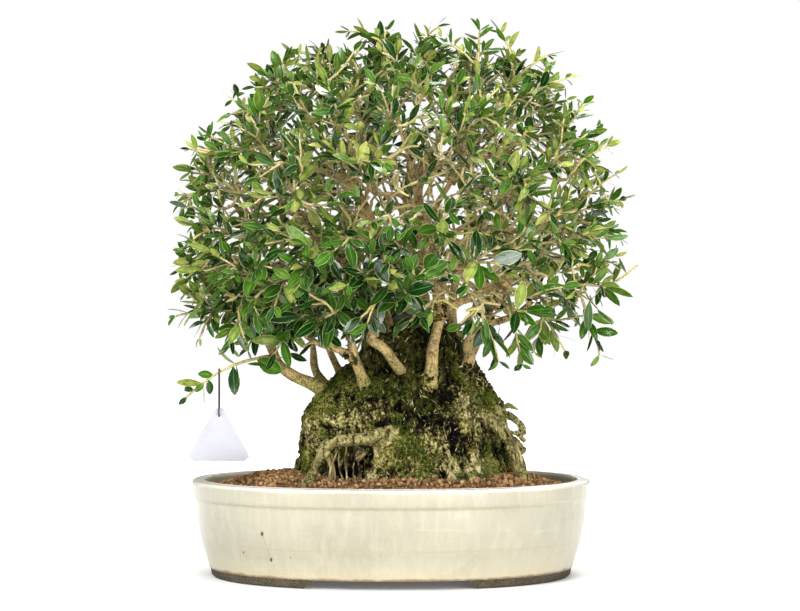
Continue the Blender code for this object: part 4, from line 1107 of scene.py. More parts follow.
def look_leaf(dark, middle, young):
    """Glossy leaf, the same on both sides, from deep green to yellow-green, with a pale midrib and a thin pale edge
    that is partly the leaf's margin and partly a painted highlight.
    """
    look = Look("leaf_top", dark)
    off, up = leaf_axes(look)
    own, cloud = look.read("shade"), look.noise(210.0, 3.0)
    look.paint(middle, own, 0.16, 0.44)
    look.paint(young, own, 0.46, 0.96)
    look.paint(scaled(dark, 0.45), cloud, 0.35, 0.75, 0.0, 0.5)
    look.paint(scaled(dark, 0.6), off, 0.05, 0.80, 0.0, 0.30)
    # The pale edge is partly the leaf's own margin and partly a painted highlight along it.
    rib, edge = look.span(off, 0.0, 0.08, 0.30, 0.0), look.span(off, 0.86, 0.97, 0.0, 0.75)
    look.paint((0.50, 0.56, 0.22), look.calc("MAXIMUM", rib, edge))
    veins = look.calc("SINE", look.mix((up, 44.0), (off, -7.92)))
    relief = look.mix((veins, 0.12), start=look.span(off, 0.0, 0.14, -1.0, 0.0))
    return look.finish(Roughness=look.span(cloud, 0.3, 0.7, 0.18, 0.40), Specular_IOR_Level=0.20,
                       Coat_Weight=look.span(own, 0.15, 0.6, 1.0, 0.02), Coat_Roughness=0.07,
                       Normal=look.bump(relief, 0.0004, 0.5))


def look_plain(name, colour, roughness, scale, depth):
    """A finish of one colour with fine mottling and grain."""
    look = Look(name, scaled(colour, 0.82))
    grain = look.noise(scale, 3.0)
    look.paint(scaled(colour, 1.08), grain)
    return look.finish(Roughness=roughness, Normal=look.bump(grain, depth))


def smooth_line(points, step):
    """Points about a step apart on a smooth curve through the given ones."""
    points = [Vector(p) for p in points]
    ends = [points[0] * 2 - points[1], *points, points[-1] * 2 - points[-2]]
    found = []
    for a, b, c, d in zip(ends, ends[1:], ends[2:], ends[3:]):
        count = max(2, round((c - b).length / step))
        for i in range(count):
            t = i / count
            found.append(0.5 * ((2 * b) + (c - a) * t + (2 * a - 5 * b + 4 * c - d) * t * t
                                + (3 * b - a - 3 * c + d) * t**3))
    found.append(points[-1])
    return found


def limb_line(limb, step, flare=0.0, knobs=0.0):
    """A limb as (point, radius) pairs, thicker at its base by a flare and uneven by its knobs."""
    points = smooth_line(limb.points, step)
    change = limb.end_radius - limb.start_radius
    line = []
    for point, share in zip(points, shares_along(points)):
        radius = limb.start_radius + change * share**LIMB_TAPER
        radius *= 1 + flare * math.exp(-share * 9) + knobs * noise.noise(point * 70)
        line.append((point, max(radius, 0.0009)))
    return line


def row_between(rows, height):
    """The row of a table at a height, worked out between the two nearest."""
    for low, high in zip(rows, rows[1:]):
        if height <= high[0]:
            share = (height - low[0]) / (high[0] - low[0])
            return [a + (b - a) * share for a, b in zip(low, high)]
    return list(rows[-1])


def smooth_rows(rows, count):
    """The profile's rows, made finer and rounded off."""
    line = smooth_line([(inset, height, 0.0) for inset, height in rows], 1.0)
    dense = []
    for a, b in zip(line, line[1:]):
        dense += [a.lerp(b, i / count) for i in range(count)]
    dense.append(line[-1])
    for _ in range(count):
        dense = [dense[0], *((p + q * 2 + r) / 4 for p, q, r in zip(dense, dense[1:], dense[2:])), dense[-1]]
    return [(p.x, p.y) for p in dense]


def on_oval(turn, inset, height):
    """The point of the pot's outline, drawn in by an inset, that lies at a turn of its circle."""
    c, s = math.cos(turn), math.sin(turn)
    x = math.copysign(abs(c) ** (2 / OVAL_POWER), c) * (POT_LENGTH / 2 - inset)
    y = math.copysign(abs(s) ** (2 / OVAL_POWER), s) * (POT_WIDTH / 2 - inset)
    return Vector((x, y, height))


def make_pot(settings):
    rows = smooth_rows(POT_OUTSIDE, 4) + smooth_rows(POT_INSIDE, 3)
    pot = drawn_up("glazed_pot", OVAL_CORNERS, len(rows), lambda turn, row: on_oval(turn, *rows[row]))
    feet = drawn_up("feet", OVAL_CORNERS, len(FOOT_PROFILE), lambda turn, row: on_oval(turn, *FOOT_PROFILE[row]),
                    closed=True)
    slope = (FOOT_GAP_AT_FLOOR - FOOT_GAP_AT_TOP) / 2 / POT_UNDERSIDE
    wedge = primitive("cube", size=2.0)
    for vert in wedge.data.vertices:
        z = POT_UNDERSIDE * (-0.5 if vert.co.z < 0 else 1.5)
        vert.co = ((FOOT_GAP_AT_FLOOR / 2 - slope * z) * vert.co.x, POT_WIDTH * vert.co.y, z)
    cut_with(feet, "DIFFERENCE", wedge)
    cut_with(pot, "UNION", feet)
    for side in (-1, 1):
        place = (side * DRAIN_SPACING / 2, 0, POT_FLOOR)
        cut_with(pot, "DIFFERENCE", primitive("cylinder", place, vertices=48, radius=DRAIN_RADIUS, depth=POT_FLOOR * 2))
    shade(pot, 30)
    finish_piece(pot, "glazed_clay", [look_glaze(settings.glaze), look_clay(settings.clay)], "pot")
    for face in pot.data.polygons:
        face.material_index = int(face.center.z < POT_UNDERSIDE + 0.0002)


def taken_apart(model):
    """A small model's points and triangles, after which the model goes."""
    points = np.array([tuple(v.co) for v in model.data.vertices])
    model.data.calc_loop_triangles()
    faces = np.array([tuple(t.vertices) for t in model.data.loop_triangles])
    bpy.data.objects.remove(model)
    return points, faces


def granule():
    """One rough grain, modelled once."""
    ball = primitive("ico_sphere", subdivisions=1, radius=1.0)
    for vert in ball.data.vertices:
        vert.co *= 1 + 0.25 * noise.noise(vert.co * 2.1)
    return taken_apart(ball)


def copies(name, points, faces, places, shades):
    """One mesh of many copies of a small shape, each at its own 4 by 4 place, with its shade kept per point."""
    flat = np.concatenate([points, np.ones((len(points), 1))], axis=1)
    every = np.einsum("nij,pj->npi", np.array(places), flat)[:, :, :3].reshape(-1, 3)
    step = (np.arange(len(places)) * len(points))[:, None, None]
    thing = add_mesh(name, every, (faces[None] + step).reshape(-1, faces.shape[1]))
    keep_shade(thing.data, np.repeat(shades, len(points)))
    return thing


def placed(spot, turn, *sizes):
    """The place of a copy, moved to a spot, turned and stretched."""
    return np.array(Matrix.Translation(spot) @ turn @ Matrix.Diagonal((*sizes, 1.0)))


def facing(way):
    """The turn that makes an upright thing point that way."""
    return way.to_track_quat("Z", "Y").to_matrix().to_4x4()


def keep_shade(mesh, values, name="shade"):
    mesh.attributes.new(name, "FLOAT", "POINT").data.foreach_set("value", np.asarray(values, dtype=np.float32))


def turned(draw):
    """A random turn in space."""
    axis = any_way(draw).normalized()
    return Matrix.Rotation(draw.uniform(0, 2 * math.pi), 4, axis)


def stump_reach(turn, height):
    """The stump's surface point at a turn and height."""
    _, middle, half_length, half_depth = row_between(STUMP_RINGS, height)
    out = 1 + stump_swell(turn, height)
    return Vector((middle + half_length * out * math.cos(turn), half_depth * out * math.sin(turn), height))


def soil_height(x, y):
    """The soil's height, which falls from the mound round the stump to the pot's wall."""
    off = math.hypot(x / SOIL_HALF_LENGTH, y / SOIL_HALF_DEPTH)
    rise = min((1 - min(off, 1.0)) / SOIL_SLOPE, 1.0)
    return SOIL_AT_WALL + (SOIL_MOUND - SOIL_AT_WALL) * rise * rise * (3 - 2 * rise)


def make_soil(settings):
    draw = random.Random(11)
    wall, wall_height = POT_INSIDE[2]
    _, middle, half_length, half_depth = STUMP_RINGS[0]

    def ground(turn, row):
        if row == 0:
            return on_oval(turn, POT_INSIDE[-1][0] + 2 * GAP, POT_FLOOR + GAP)
        if row == 1:
            return on_oval(turn, wall + 2 * GAP, wall_height)
        point = on_oval(turn, wall, 0.0) * (1 - (row - 2) / BED_RINGS)
        point.z = soil_height(point.x, point.y) - BED_DROP
        return point

    bed = drawn_up("soil_bed", 96, BED_RINGS + 2, ground)
    keep_shade(bed.data, [BED_SHADE] * len(bed.data.vertices))
    shade(bed)
    finish_piece(bed, "soil", [look_soil(settings.grain_colour)], "soil")
    places, shades = [], []
    for _ in range(GRAINS_TRIED):
        x, y = (draw.uniform(-half, half) for half in (SOIL_HALF_LENGTH, SOIL_HALF_DEPTH))
        far = (abs(x) / GRAINS_HALF_LENGTH) ** OVAL_POWER + (abs(y) / GRAINS_HALF_DEPTH) ** OVAL_POWER
        inner = stump_reach(math.atan2(y / half_depth, (x - middle) / half_length), SOIL_LINE)
        if far > 1 or math.hypot(x - middle, y) < math.hypot(inner.x - middle, inner.y) * 0.93:
            continue
        radius = settings.grain_size / 2 * draw.uniform(0.55, 1.25)
        z = soil_height(x, y) + draw.uniform(-0.0022, 0.0008)
        sizes = radius * draw.uniform(0.8, 1.2), radius, radius * draw.uniform(0.6, 0.9)
        places.append(placed((x, y, z), turned(draw), *sizes))
        shades.append(draw.random())
    grains = copies("soil_grains", *granule(), places, shades)
    finish_piece(grains, "soil", [bed.data.materials[0]], "soil")


def make_stump(settings):
    low, high, count = STUMP_RINGS[0][0], STUMP_RINGS[-1][0], 60
    stump = drawn_up("mossy_stump", 128, count,
                     lambda turn, row: stump_reach(turn, low + (high - low) * row / (count - 1)))
    lines = [[(p, radius + 0.0007) for p, radius in limb_line(limb, 0.003, 0.0, 0.35)] for limb in ROOTS]
    lines += [limb_line(limb, 0.003, 0.9, 0.3)[:LIMB_BASE_POINTS] for limb in LIMBS]
    lines += [limb_line(spike, 0.002, 0.0, 0.4) for spike in ROOT_SPIKES]
    pick(stump, tubes("roots", lines, 3))
    bpy.ops.object.join()
    apply_modifier(stump, "REMESH", mode="VOXEL", voxel_size=0.00150, use_smooth_shade=True)
    apply_modifier(stump, "SMOOTH", factor=0.5, iterations=3)
    roughen(stump)
    shade(stump, 80)
    look = look_stump(settings.old_bark, settings.moss, settings.lichen)
    finish_piece(stump, "bark", [look], "stump_and_limbs")
    return stump


def roughen(stump):
    """Carves plates, fissures and hollows into the stump, and keeps their height, its moss and its bare roots; the
    hollows are kept lowest and without moss, so that they are painted in shade.
    """
    mesh = stump.data
    count = len(mesh.vertices)
    places = read_all(mesh.vertices, "co", 3).reshape(-1, 3)
    ways = read_all(mesh.vertex_normals, "vector", 3).reshape(-1, 3)
    on_root = np.zeros(count)
    for limb in (*ROOTS, *ROOT_SPIKES):
        for point, radius in limb_line(limb, 0.004):
            off = np.linalg.norm(places - np.array(point), axis=1)
            on_root = np.maximum(on_root, np.clip(2.2 - off / radius, 0, 1))
    cave = np.zeros(count)
    for middle, sizes, depth in STUMP_CAVES:
        off = np.linalg.norm((places - np.array(middle)) / np.array(sizes), axis=1)
        cave = np.maximum(cave, depth * np.exp(-(off**2)))
    knot = np.zeros(count)
    for x, z, radius in STUMP_KNOTS:
        off = np.hypot(places[:, 0] - x, places[:, 2] - z) / radius
        ring = 0.0030 * np.exp(-(((off - 1) / 0.45) ** 2)) - 0.0035 * np.exp(-((off / 0.5) ** 2))
        knot += np.where(places[:, 1] < -0.03, ring, 0)
    relief = np.zeros(count)
    moss = np.zeros(count)
    for i, (place, way) in enumerate(zip(places, ways)):
        at = Vector(place)
        swirl = noise.noise_vector(at * 38) * 0.011
        run = Vector((at.x, at.y, at.z * 0.42)) + swirl
        wide = noise.fractal(at * 36, 0.9, 2.1, 3)
        fibre = 1 - 2.4 * abs(noise.noise(run * 135 + Vector((3, 7, 1))))
        near = noise.voronoi(run * 125)[0]
        plate = min(1.0, (near[1] - near[0]) * 3.2)
        small = noise.fractal(at * 260, 0.8, 2.2, 2)
        calm = 1 - 0.50 * on_root[i]
        relief[i] = (0.0044 * wide + 0.0018 * fibre + 0.0024 * (plate - 0.7) + 0.0013 * small) * calm + knot[i]
        patch = noise.fractal(at * 24 + Vector((9, 2, 5)), 0.9, 2.0, 3)
        moss[i] = (0.34 + 0.62 * patch + 0.20 * way[2] - 0.6 * on_root[i] + 20 * (relief[i] - 0.0005)
                   - 2.2 * (at.z - 0.15))
    shift = relief - 0.0004 * (1 - on_root) - cave * (1 - on_root)
    moved = places + ways * shift[:, None]
    mesh.vertices.foreach_set("co", moved.astype(np.float32).reshape(-1))
    # The hollows are set to the lowest height and stripped of moss, so that the bark's material paints them black as
    # painted shade.
    keep_shade(mesh, np.clip((relief + 0.0045) / 0.0090 - cave * 90, 0, 1), "relief")
    keep_shade(mesh, np.clip(moss - cave * 80, 0, 1), "moss")
    tone = np.full(count, 0.5)
    for x, z, wide, tall, change in STUMP_TONES:
        off = np.hypot((places[:, 0] - x) / wide, (places[:, 2] - z) / tall)
        tone += change * np.exp(-(off**2))
    keep_shade(mesh, on_root, "bare")
    keep_shade(mesh, tone, "tone")
    mesh.update()


def stump_faces(stump, accept):
    """The stump's faces over the soil that pass a test on their middle and their moss."""
    mesh = stump.data
    values = read_all(mesh.attributes["moss"].data, "value")
    return [f for f in mesh.polygons if f.center.z > SOIL_MOUND - 0.002 and accept(f.center, values[f.vertices[0]])]


def make_moss(settings, stump):
    """Tufts of short blades over the mossy parts of the stump."""
    draw = random.Random(5)
    cone = primitive("cone", vertices=3, radius1=0.17, radius2=0.0, depth=1.0)
    cone.data.transform(Matrix.Translation((0, 0, 0.4)))
    points, faces = taken_apart(cone)
    faces_on = stump_faces(stump, lambda place, moss: moss > 0.55)
    places, shades = [], []
    for face in draw.choices(faces_on, k=min(len(faces_on), settings.moss_tufts)):
        own = 0.45 + 0.9 * noise.noise(face.center * 60) + draw.gauss(0.0, 0.12)
        for _ in range(3):
            way = (face.normal + any_way(draw) * 0.8 + Vector((0, 0, 0.30))).normalized()
            size = draw.uniform(0.0012, 0.0026)
            spot = face.center - SHIFT + any_way(draw) * 0.0008
            places.append(placed(spot, facing(way), size, size, size))
            shades.append(clamp(own + draw.uniform(-0.2, 0.2)))
    tufts = copies("moss_tufts", points, faces, places, shades)
    finish_piece(tufts, "leaves", [look_moss(settings.moss, settings.lichen)])


def make_litter(settings, stump):
    """Dry fibres and chips of bark that lie over the stump and stand out a little."""
    draw = random.Random(17)

    def fibre(turn, row):
        thick = (0.35, 1.0, 0.15)[row]
        return Vector((row - 1.0, 0.11 * thick * math.cos(turn), 0.05 * thick * math.sin(turn) - 0.16 * (row - 1)**2))

    points, faces = taken_apart(drawn_up("fibre", 3, 3, fibre))
    faces_on = stump_faces(stump, lambda place, moss: True)
    places, shades = [], []
    for face in draw.choices(faces_on, k=settings.litter):
        way = any_way(draw) + Vector((0, 0, draw.choice((-0.9, 0.9))))
        along_face = (way - way.dot(face.normal) * face.normal).normalized()
        over = (face.normal + any_way(draw) * 0.25).normalized()
        along_face = (along_face - along_face.dot(over) * over).normalized()
        turn = Matrix((along_face, over.cross(along_face), over)).transposed().to_4x4()
        size = draw.uniform(0.0014, 0.0038)
        wide = size * draw.uniform(0.8, 2.2)
        spot = face.center - SHIFT + face.normal * draw.uniform(0.0001, 0.0008)
        places.append(placed(spot, turn, size, wide, size))
        shades.append(draw.random() ** 1.1)
    litter = copies("dry_litter", points, faces, places, shades)
    finish_piece(litter, "bark", [look_litter()])


def make_fine_roots():
    """Thin roots that hang in the hollow under the arched root and stray over the right foot of the stump."""
    draw = random.Random(23)
    lines = []
    for k in range(11):
        x = -0.064 + 0.0038 * k + draw.uniform(-0.003, 0.003)
        top = Vector((x, -0.0890 + draw.uniform(0.0, 0.010), 0.1330 - 0.0018 * abs(k - 6)))
        foot = Vector((x + draw.uniform(-0.013, 0.008), -0.0925 + draw.uniform(-0.004, 0.006), 0.0930))
        middle = top.lerp(foot, draw.uniform(0.35, 0.65)) + any_way(draw) * 0.006
        radius = draw.choice((0.0005, 0.0007, 0.0010, 0.0021))
        line = enumerate(smooth_line((top, middle, foot), 0.004))
        lines.append([(p, radius * (1.15 - 0.4 * i / 12 + 0.5 * noise.noise(p * 150))) for i, p in line])
    for k in range(7):
        top = Vector((0.112 + 0.003 * k, -0.052 + 0.004 * k, 0.150 - 0.006 * k))
        foot = top + Vector((0.010, -0.003, -0.028)) + any_way(draw) * 0.004
        middle = top.lerp(foot, 0.5) + any_way(draw) * 0.003
        lines.append([(p, draw.uniform(0.0008, 0.0012)) for p in smooth_line((top, middle, foot), 0.004)])
    finish_piece(mottled_tubes("fine_roots", lines, 1, *ROOT_MOTTLE), "bark", [look_litter()])


def make_limbs(settings, branches):
    lines = [limb_line(limb, 0.0035, 0.55, 0.22) for limb in (*branches, CUT_STUB, LABEL_BRANCH)]
    thick = tubes("tan_limbs", lines, 3)
    shade(thick, 70)
    finish_piece(thick, "bark", [look_limbs(settings.young_bark, settings.moss)], "stump_and_limbs")
    make_cut_face()
    make_charred_stub()


def make_cut_face():
    """The sawn end of the dead stub, an oval face that looks at the viewer."""
    before, end = (Vector(p) for p in CUT_STUB.points[-2:])
    disc = primitive("cylinder", vertices=28, radius=CUT_STUB.end_radius * 1.02, depth=0.0016)
    disc.name = disc.data.name = "cut_face"
    apply_modifier(disc, "BEVEL", width=0.0004, segments=2)
    way = ((end - before).normalized() * 0.75 + Vector((-0.25, -0.8, 0.35))).normalized()
    disc.data.transform(Matrix.Translation(end + way * 0.0012) @ facing(way))
    shade(disc)
    finish_piece(disc, "bark", [look_cut_wood()])


def make_charred_stub():
    line = [(p, CHARRED_RADIUS * (1 + 0.35 * noise.noise(p * 160))) for p in smooth_line(CHARRED_STUB, 0.0015)]
    stub = tubes("charred_stub", [line], 4)
    for vert in stub.data.vertices:
        vert.co += Vector((0, noise.noise(vert.co * 330), noise.noise(vert.co * 410 + Vector((5, 5, 5))))) * 0.0014
    shade(stub, 50)
    finish_piece(stub, "bark", [look_char()])


@lru_cache
def grown():
    """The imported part's own branches and sprays, grown once."""
    return grow_crown()


class Wood:
    """Points on the wood so far, from which new twigs can spring, each with the way the wood runs there."""

    def __init__(self):
        self.places = []
        self.ways = []
        self.shares = []

    def add(self, line):
        for a, b in zip(line, line[1:]):
            self.places.append(tuple(b))
            self.ways.append(tuple((Vector(b) - Vector(a)).normalized()))
            self.shares.append(share_of_dome(Vector(b)))

    def freeze(self):
        self.table = np.array(self.places), np.array(self.ways), np.array(self.shares)

    def spring(self, target, reach):
        """The place and way from which a twig can best reach a target, or None."""
        places, ways, shares = self.table
        away = np.array(target) - places
        far = np.linalg.norm(away, axis=1)
        onward = np.einsum("ij,ij->i", away, ways) / far
        cost = far * (1.7 - onward)
        cost[(shares > share_of_dome(target) - 0.03) | (far > reach) | (far < 0.012) | (onward < -0.1)] = np.inf
        best = int(cost.argmin())
        return None if cost[best] == np.inf else (Vector(places[best]), Vector(ways[best]))


def openness(place):
    """How thin the foliage is there: light comes through the crown's middle, low at its right and at its ends."""
    found = 0.0
    for x, z, wide, tall, share in OPEN_PLACES:
        off = math.hypot((place.x - x) / wide, (place.z - z) / tall)
        found = max(found, share * math.exp(-off * off))
    return found


def twig_path(spring, target, draw, bend):
    """A curved run from a spring to its target."""
    place, way = spring
    away = target - place
    lead = (way * 0.55 + away.normalized() * 0.8 + any_way(draw) * bend).normalized()
    middle = place + lead * away.length * 0.5
    count = max(4, round(away.length / 0.008))
    path = []
    for i in range(count + 1):
        t = i / count
        point = place * (1 - t) ** 2 + middle * 2 * t * (1 - t) + target * t * t
        path.append(point + any_way(draw) * 0.0007 * (0 < i < count))
    return path


def targets(draw, count, shares, lowest, spacing, thin):
    """Places spread over a shell of the dome, at least a spacing apart, fewer where foliage is thin."""
    space = Space()
    found = []
    for _ in range(count * 40):
        if len(found) == count:
            break
        z = draw.uniform(lowest, 1.0)
        turn = draw.uniform(0, 2 * math.pi)
        flat = math.sqrt(1 - z * z)
        way = Vector((flat * math.cos(turn), flat * math.sin(turn), z))
        place = dome_point(way, draw.uniform(*shares))
        if draw.random() < thin * openness(place) or not space.is_clear([place], spacing):
            continue
        space.fill([place], 0.0)
        found.append(place)
    return sorted(found, key=share_of_dome)


def inside_part(points):
    """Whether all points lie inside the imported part's box, with no lower limit."""
    return all(PART_LOW.x < p.x < PART_HIGH.x and PART_LOW.y < p.y < PART_HIGH.y and p.z < PART_HIGH.z for p in points)


def leaf_on(path, at, side, size, draw, space):
    """A leaf at a point of a twig, posed so that it runs through no other, or None."""
    heading = (path[min(at + 1, len(path) - 1)] - path[max(at - 1, 0)]).normalized()
    outward = (path[at] - DOME_MIDDLE).normalized()
    for attempt in range(7):
        lean = math.radians(draw.uniform(30, 68))
        direction = (heading * math.cos(lean) + side * math.sin(lean) + any_way(draw) * (0.12 + 0.05 * attempt)
                     - Vector((0, 0, 0.10))).normalized()
        face = heading * 0.55 + outward * 0.40 + Vector((0, 0, 0.65)) + any_way(draw) * 0.65
        normal = (face - face.dot(direction) * direction).normalized()
        length = draw.uniform(*ADDED_LENGTH) * size * leaf_size(path[at]) * (1 - 0.04 * attempt)
        width = length * draw.uniform(*ADDED_WIDTH_SHARE)
        leaf = Leaf(path[at], direction, normal, length, width, length * draw.uniform(-0.04, 0.22))
        samples = leaf_samples(leaf, ADDED_SECTIONS)
        if samples[-1].z < LOWEST_LEAF or not inside_part(samples):
            continue
        if draw.random() < 1.1 * openness(samples[-1]) - 0.15:
            continue
        if share_of_dome(samples[-1]) > max(1.05, share_of_dome(path[-1]) + 0.10):
            continue
        if space.is_clear(samples, ADDED_CLEARANCE):
            space.fill(samples, 0.0)
            return leaf
    return None


def leaves_on(path, leafy, draw, space):
    """Opposite leaves at nodes from the tip of a twig back, smaller at the tip."""
    found = []
    run, due, node = 0.0, 0.0, 0
    turn = draw.uniform(0, math.pi)
    for at in range(len(path) - 1, 0, -1):
        if run >= due:
            heading = (path[at] - path[at - 1]).normalized()
            across = heading.orthogonal().normalized()
            over = heading.cross(across)
            size = NODE_SIZES[min(node, 2)]
            for k in (0, 1):
                angle = turn + node * math.pi / 2 + k * math.pi + draw.uniform(-0.3, 0.3)
                side = math.cos(angle) * across + math.sin(angle) * over
                found.append(leaf_on(path, at, side, size, draw, space))
            if node == 0:
                found.append(leaf_on(path, at, heading, 0.8, draw, space))
            node += 1
            due += draw.uniform(*ADDED_SPACING)
        run += (path[at] - path[at - 1]).length
        if run > leafy:
            break
    return [leaf for leaf in found if leaf]


def label_leaves(stem):
    """The leaves of the twig that holds the label, which face the viewer."""
    found = []
    for share, (x, z), length, width in LABEL_LEAVES:
        direction = Vector((x, -0.15, z)).normalized()
        face = Vector((0.15 * share, -1.0, 0.25))
        normal = (face - face.dot(direction) * direction).normalized()
        found.append(Leaf(twig_point(stem, share), direction, normal, length, width, length * 0.10))
    return found


def twigs_of(stem):
    """A spray's stem and its shoots."""
    return (stem, *(node.shoot for node in stem.nodes if node.shoot))


def thickened():
    """The crown as it shows: leaves and twig lines for each spray, and the bare twigs inside."""
    draw = random.Random(29)
    settings = bpy.context.scene.bonsai_crown
    branches, stems = grown()
    space = Space()
    wood = Wood()
    for limb in branches:
        wood.add(smooth_line(limb.points, 0.006))
    leaves = [[] for _ in stems]
    lines = [[] for _ in stems]
    for k, stem in enumerate(stems):
        for twig in twigs_of(stem):
            path = [twig_point(twig, i / 10) for i in range(11)]
            lines[k].append([(p, twig_radius(twig, i / 10)) for i, p in enumerate(path)])
            wood.add(path)
            for leaf in filter(None, (*(leaf for node in twig.nodes for leaf in node.leaves), twig.tip)):
                length = leaf.length * min(1.0, leaf_size(leaf.root) + 0.04)
                leaves[k].append(leaf._replace(length=length, width=length * draw.uniform(0.34, 0.46)))
                space.fill(leaf_samples(leaves[k][-1], ADDED_SECTIONS), 0.0)
    leaves[-1] += label_leaves(stems[-1])
    space.fill(label_room(), 0.004)
    wood.freeze()
    inner = []
    for place in targets(draw, settings.inner_twigs, INNER_SHELL, -0.28, 0.010, 0.12):
        spring = wood.spring(place, 0.13)
        if spring:
            path = twig_path(spring, place, draw, 0.45)
            start = draw.uniform(0.0010, 0.0022)
            inner.append([(p, start * (1 - 0.5 * i / len(path))) for i, p in enumerate(path)])
            wood.add(path)
            if len(inner) % 40 == 0:
                wood.freeze()
    wood.freeze()

    def nearest(place):
        return min(range(len(stems) - 1), key=lambda k: (stems[k].end - place).length)

    def sprout(place, reach, leafy, bend):
        spring = wood.spring(place, reach)
        if spring:
            path = twig_path(spring, place, draw, bend)
            home = nearest(place)
            lines[home].append([(p, 0.0016 - 0.0008 * i / len(path)) for i, p in enumerate(path)])
            leaves[home].extend(leaves_on(path, leafy, draw, space))
            wood.add(path)

    for place in HANGING_SHOOTS:
        sprout(Vector(place), 0.16, 0.050, 0.10)
    for x, z in CROWN_TIPS:
        for depth in (-0.050, 0.040) if z > 0.50 else (-0.060, 0.005, 0.060) if z > 0.42 else (0.005,):
            away = any_way(draw) * 0.012
            sprout(Vector((x * (1 - 8 * depth * depth), depth, z - 4 * depth * depth)) + away, 0.16, 0.050, 0.10)
    for shares, count in zip(LEAFY_SHELLS, (settings.shoots // 3, settings.shoots * 2 // 3)):
        for place in targets(draw, count, shares, -0.38, 0.0125, 0.90):
            if place.z > LOWEST_LEAF + 0.02:
                sprout(place, 0.10, draw.uniform(0.020, 0.034 + 0.06 * clamp(place.z - 0.27, high=0.3)), 0.25)
    for k, stem in enumerate(stems[:-1]):
        for twig in twigs_of(stem):
            path = [twig_point(twig, 0.35 + 0.65 * i / 8) for i in range(9)]
            if draw.random() > openness(path[-1]) - 0.2:
                leaves[k] += leaves_on(path, 0.05, draw, space)
    for path in ([p for p, _ in line] for line in inner):
        if draw.random() < settings.inner_leaves and openness(path[-1]) < 0.4:
            leaves[nearest(path[-1])] += leaves_on(path, 0.015, draw, space)
    return leaves, lines, inner


@lru_cache
def blade():
    """One leaf blade, modelled once: each corner as its share of the length, side, face and edge, and the quads."""
    model = drawn_up("blade", 4, len(BLADE_ROWS), lambda turn, row: Vector((math.cos(turn), math.sin(turn), row)))
    corners = []
    for vert in model.data.vertices:
        share, wide = BLADE_ROWS[round(vert.co.z)]
        corners.append((share, vert.co.x * wide, vert.co.y * min(1.0, wide * 1.5), round(vert.co.x)))
    quads = [tuple(f.vertices) for f in model.data.polygons]
    bpy.data.objects.remove(model)
    return np.array(corners), np.array(quads)


def leaf_size(place):
    """The share of the full leaf size at a place: leaves are small at the crown's top and ends, large low down."""
    return 1.0 - 0.20 * clamp((place.z - 0.26) / 0.17) - 0.12 * min(1.0, (place.x / 0.19) ** 2)


def leaf_mesh(name, leaves, draw):
    """One mesh of leaves, with blade coordinates and a shade for each."""
    corners, quads = blade()
    share, side, face, edge = corners.T
    points, shades = [], []
    for leaf in leaves:
        across = np.array(leaf.direction.cross(leaf.normal))
        up, way = np.array(leaf.normal), np.array(leaf.direction)
        fold = leaf.width * draw.uniform(-0.04, 0.20)
        sway = leaf.length * draw.uniform(-0.08, 0.08)
        curl = leaf.length * draw.uniform(-0.06, 0.10)
        lift = fold * np.abs(side) - leaf.droop * share**2 - curl * np.sin(share * math.pi)
        lift += face * BLADE_HALF_THICKNESS
        spread = side * leaf.width / 2 + sway * share**2
        points.append(np.array(leaf.root) + np.outer(share * leaf.length, way) + np.outer(spread, across)
                      + np.outer(lift, up))
        shades.append(clamp(leaf_shade(leaf.root) + draw.gauss(0.0, 0.25)))
    step = (np.arange(len(leaves)) * len(share))[:, None, None]
    thing = add_mesh(name, np.concatenate(points), (quads[None] + step).reshape(-1, 4))
    mesh = thing.data
    keep_shade(mesh, np.repeat(shades, len(share)))
    map_points = np.tile(np.stack([(edge + 1) / 2, share], axis=1), (len(leaves), 1))
    which = read_all(mesh.loops, "vertex_index", kind=np.int32)
    mesh.uv_layers.new(name="blade").data.foreach_set("uv", map_points[which].astype(np.float32).reshape(-1))
    face_outwards(thing)
    shade(thing, 60)
    return thing


def leaf_shade(place):
    """How yellow leaves are there: most at the two ends and the top, deep green low at the front and by the label."""
    if place.z < LABEL_LEAVES_TOP and place.x < LABEL_LEAVES_RIGHT:
        return 0.26
    ends = min(1.0, (place.x / 0.19) ** 2)
    front = 1.0 if place.y < -0.05 else 0.3
    low = clamp((0.36 - place.z) / 0.08)
    return 0.42 + 0.08 * clamp((place.z - 0.30) / 0.20, -0.8) + 0.14 * ends - 0.16 * front * low * (1 - ends)


def make_sprays(settings):
    leaves, lines, inner = thickened()
    draw = random.Random(3)
    finish = [look_leaf(settings.leaf, settings.full_leaf, settings.young_leaf),
              look_twigs(settings.twig)]
    for k, (own, twigs) in enumerate(zip(leaves, lines)):
        name = f"spray_{k + 1:02d}"
        crown = leaf_mesh(name, own, draw)
        wood = mottled_tubes("twigs", twigs, 0, *TWIG_MOTTLE)
        wood.data.uv_layers.new(name="blade")
        for look in finish:
            crown.data.materials.append(look)
            wood.data.materials.append(look)
        wood.data.polygons.foreach_set("material_index", [1] * len(wood.data.polygons))
        pick(crown, wood)
        bpy.ops.object.join()
        index = read_all(crown.data.polygons, "material_index", kind=np.int32)
        finish_piece(crown, "leaves", finish, f"leafy_{name}")
        crown.data.polygons.foreach_set("material_index", index)
    finish_piece(mottled_tubes("inner_twigs", inner, 0, *TWIG_MOTTLE), "bark", [finish[1]])


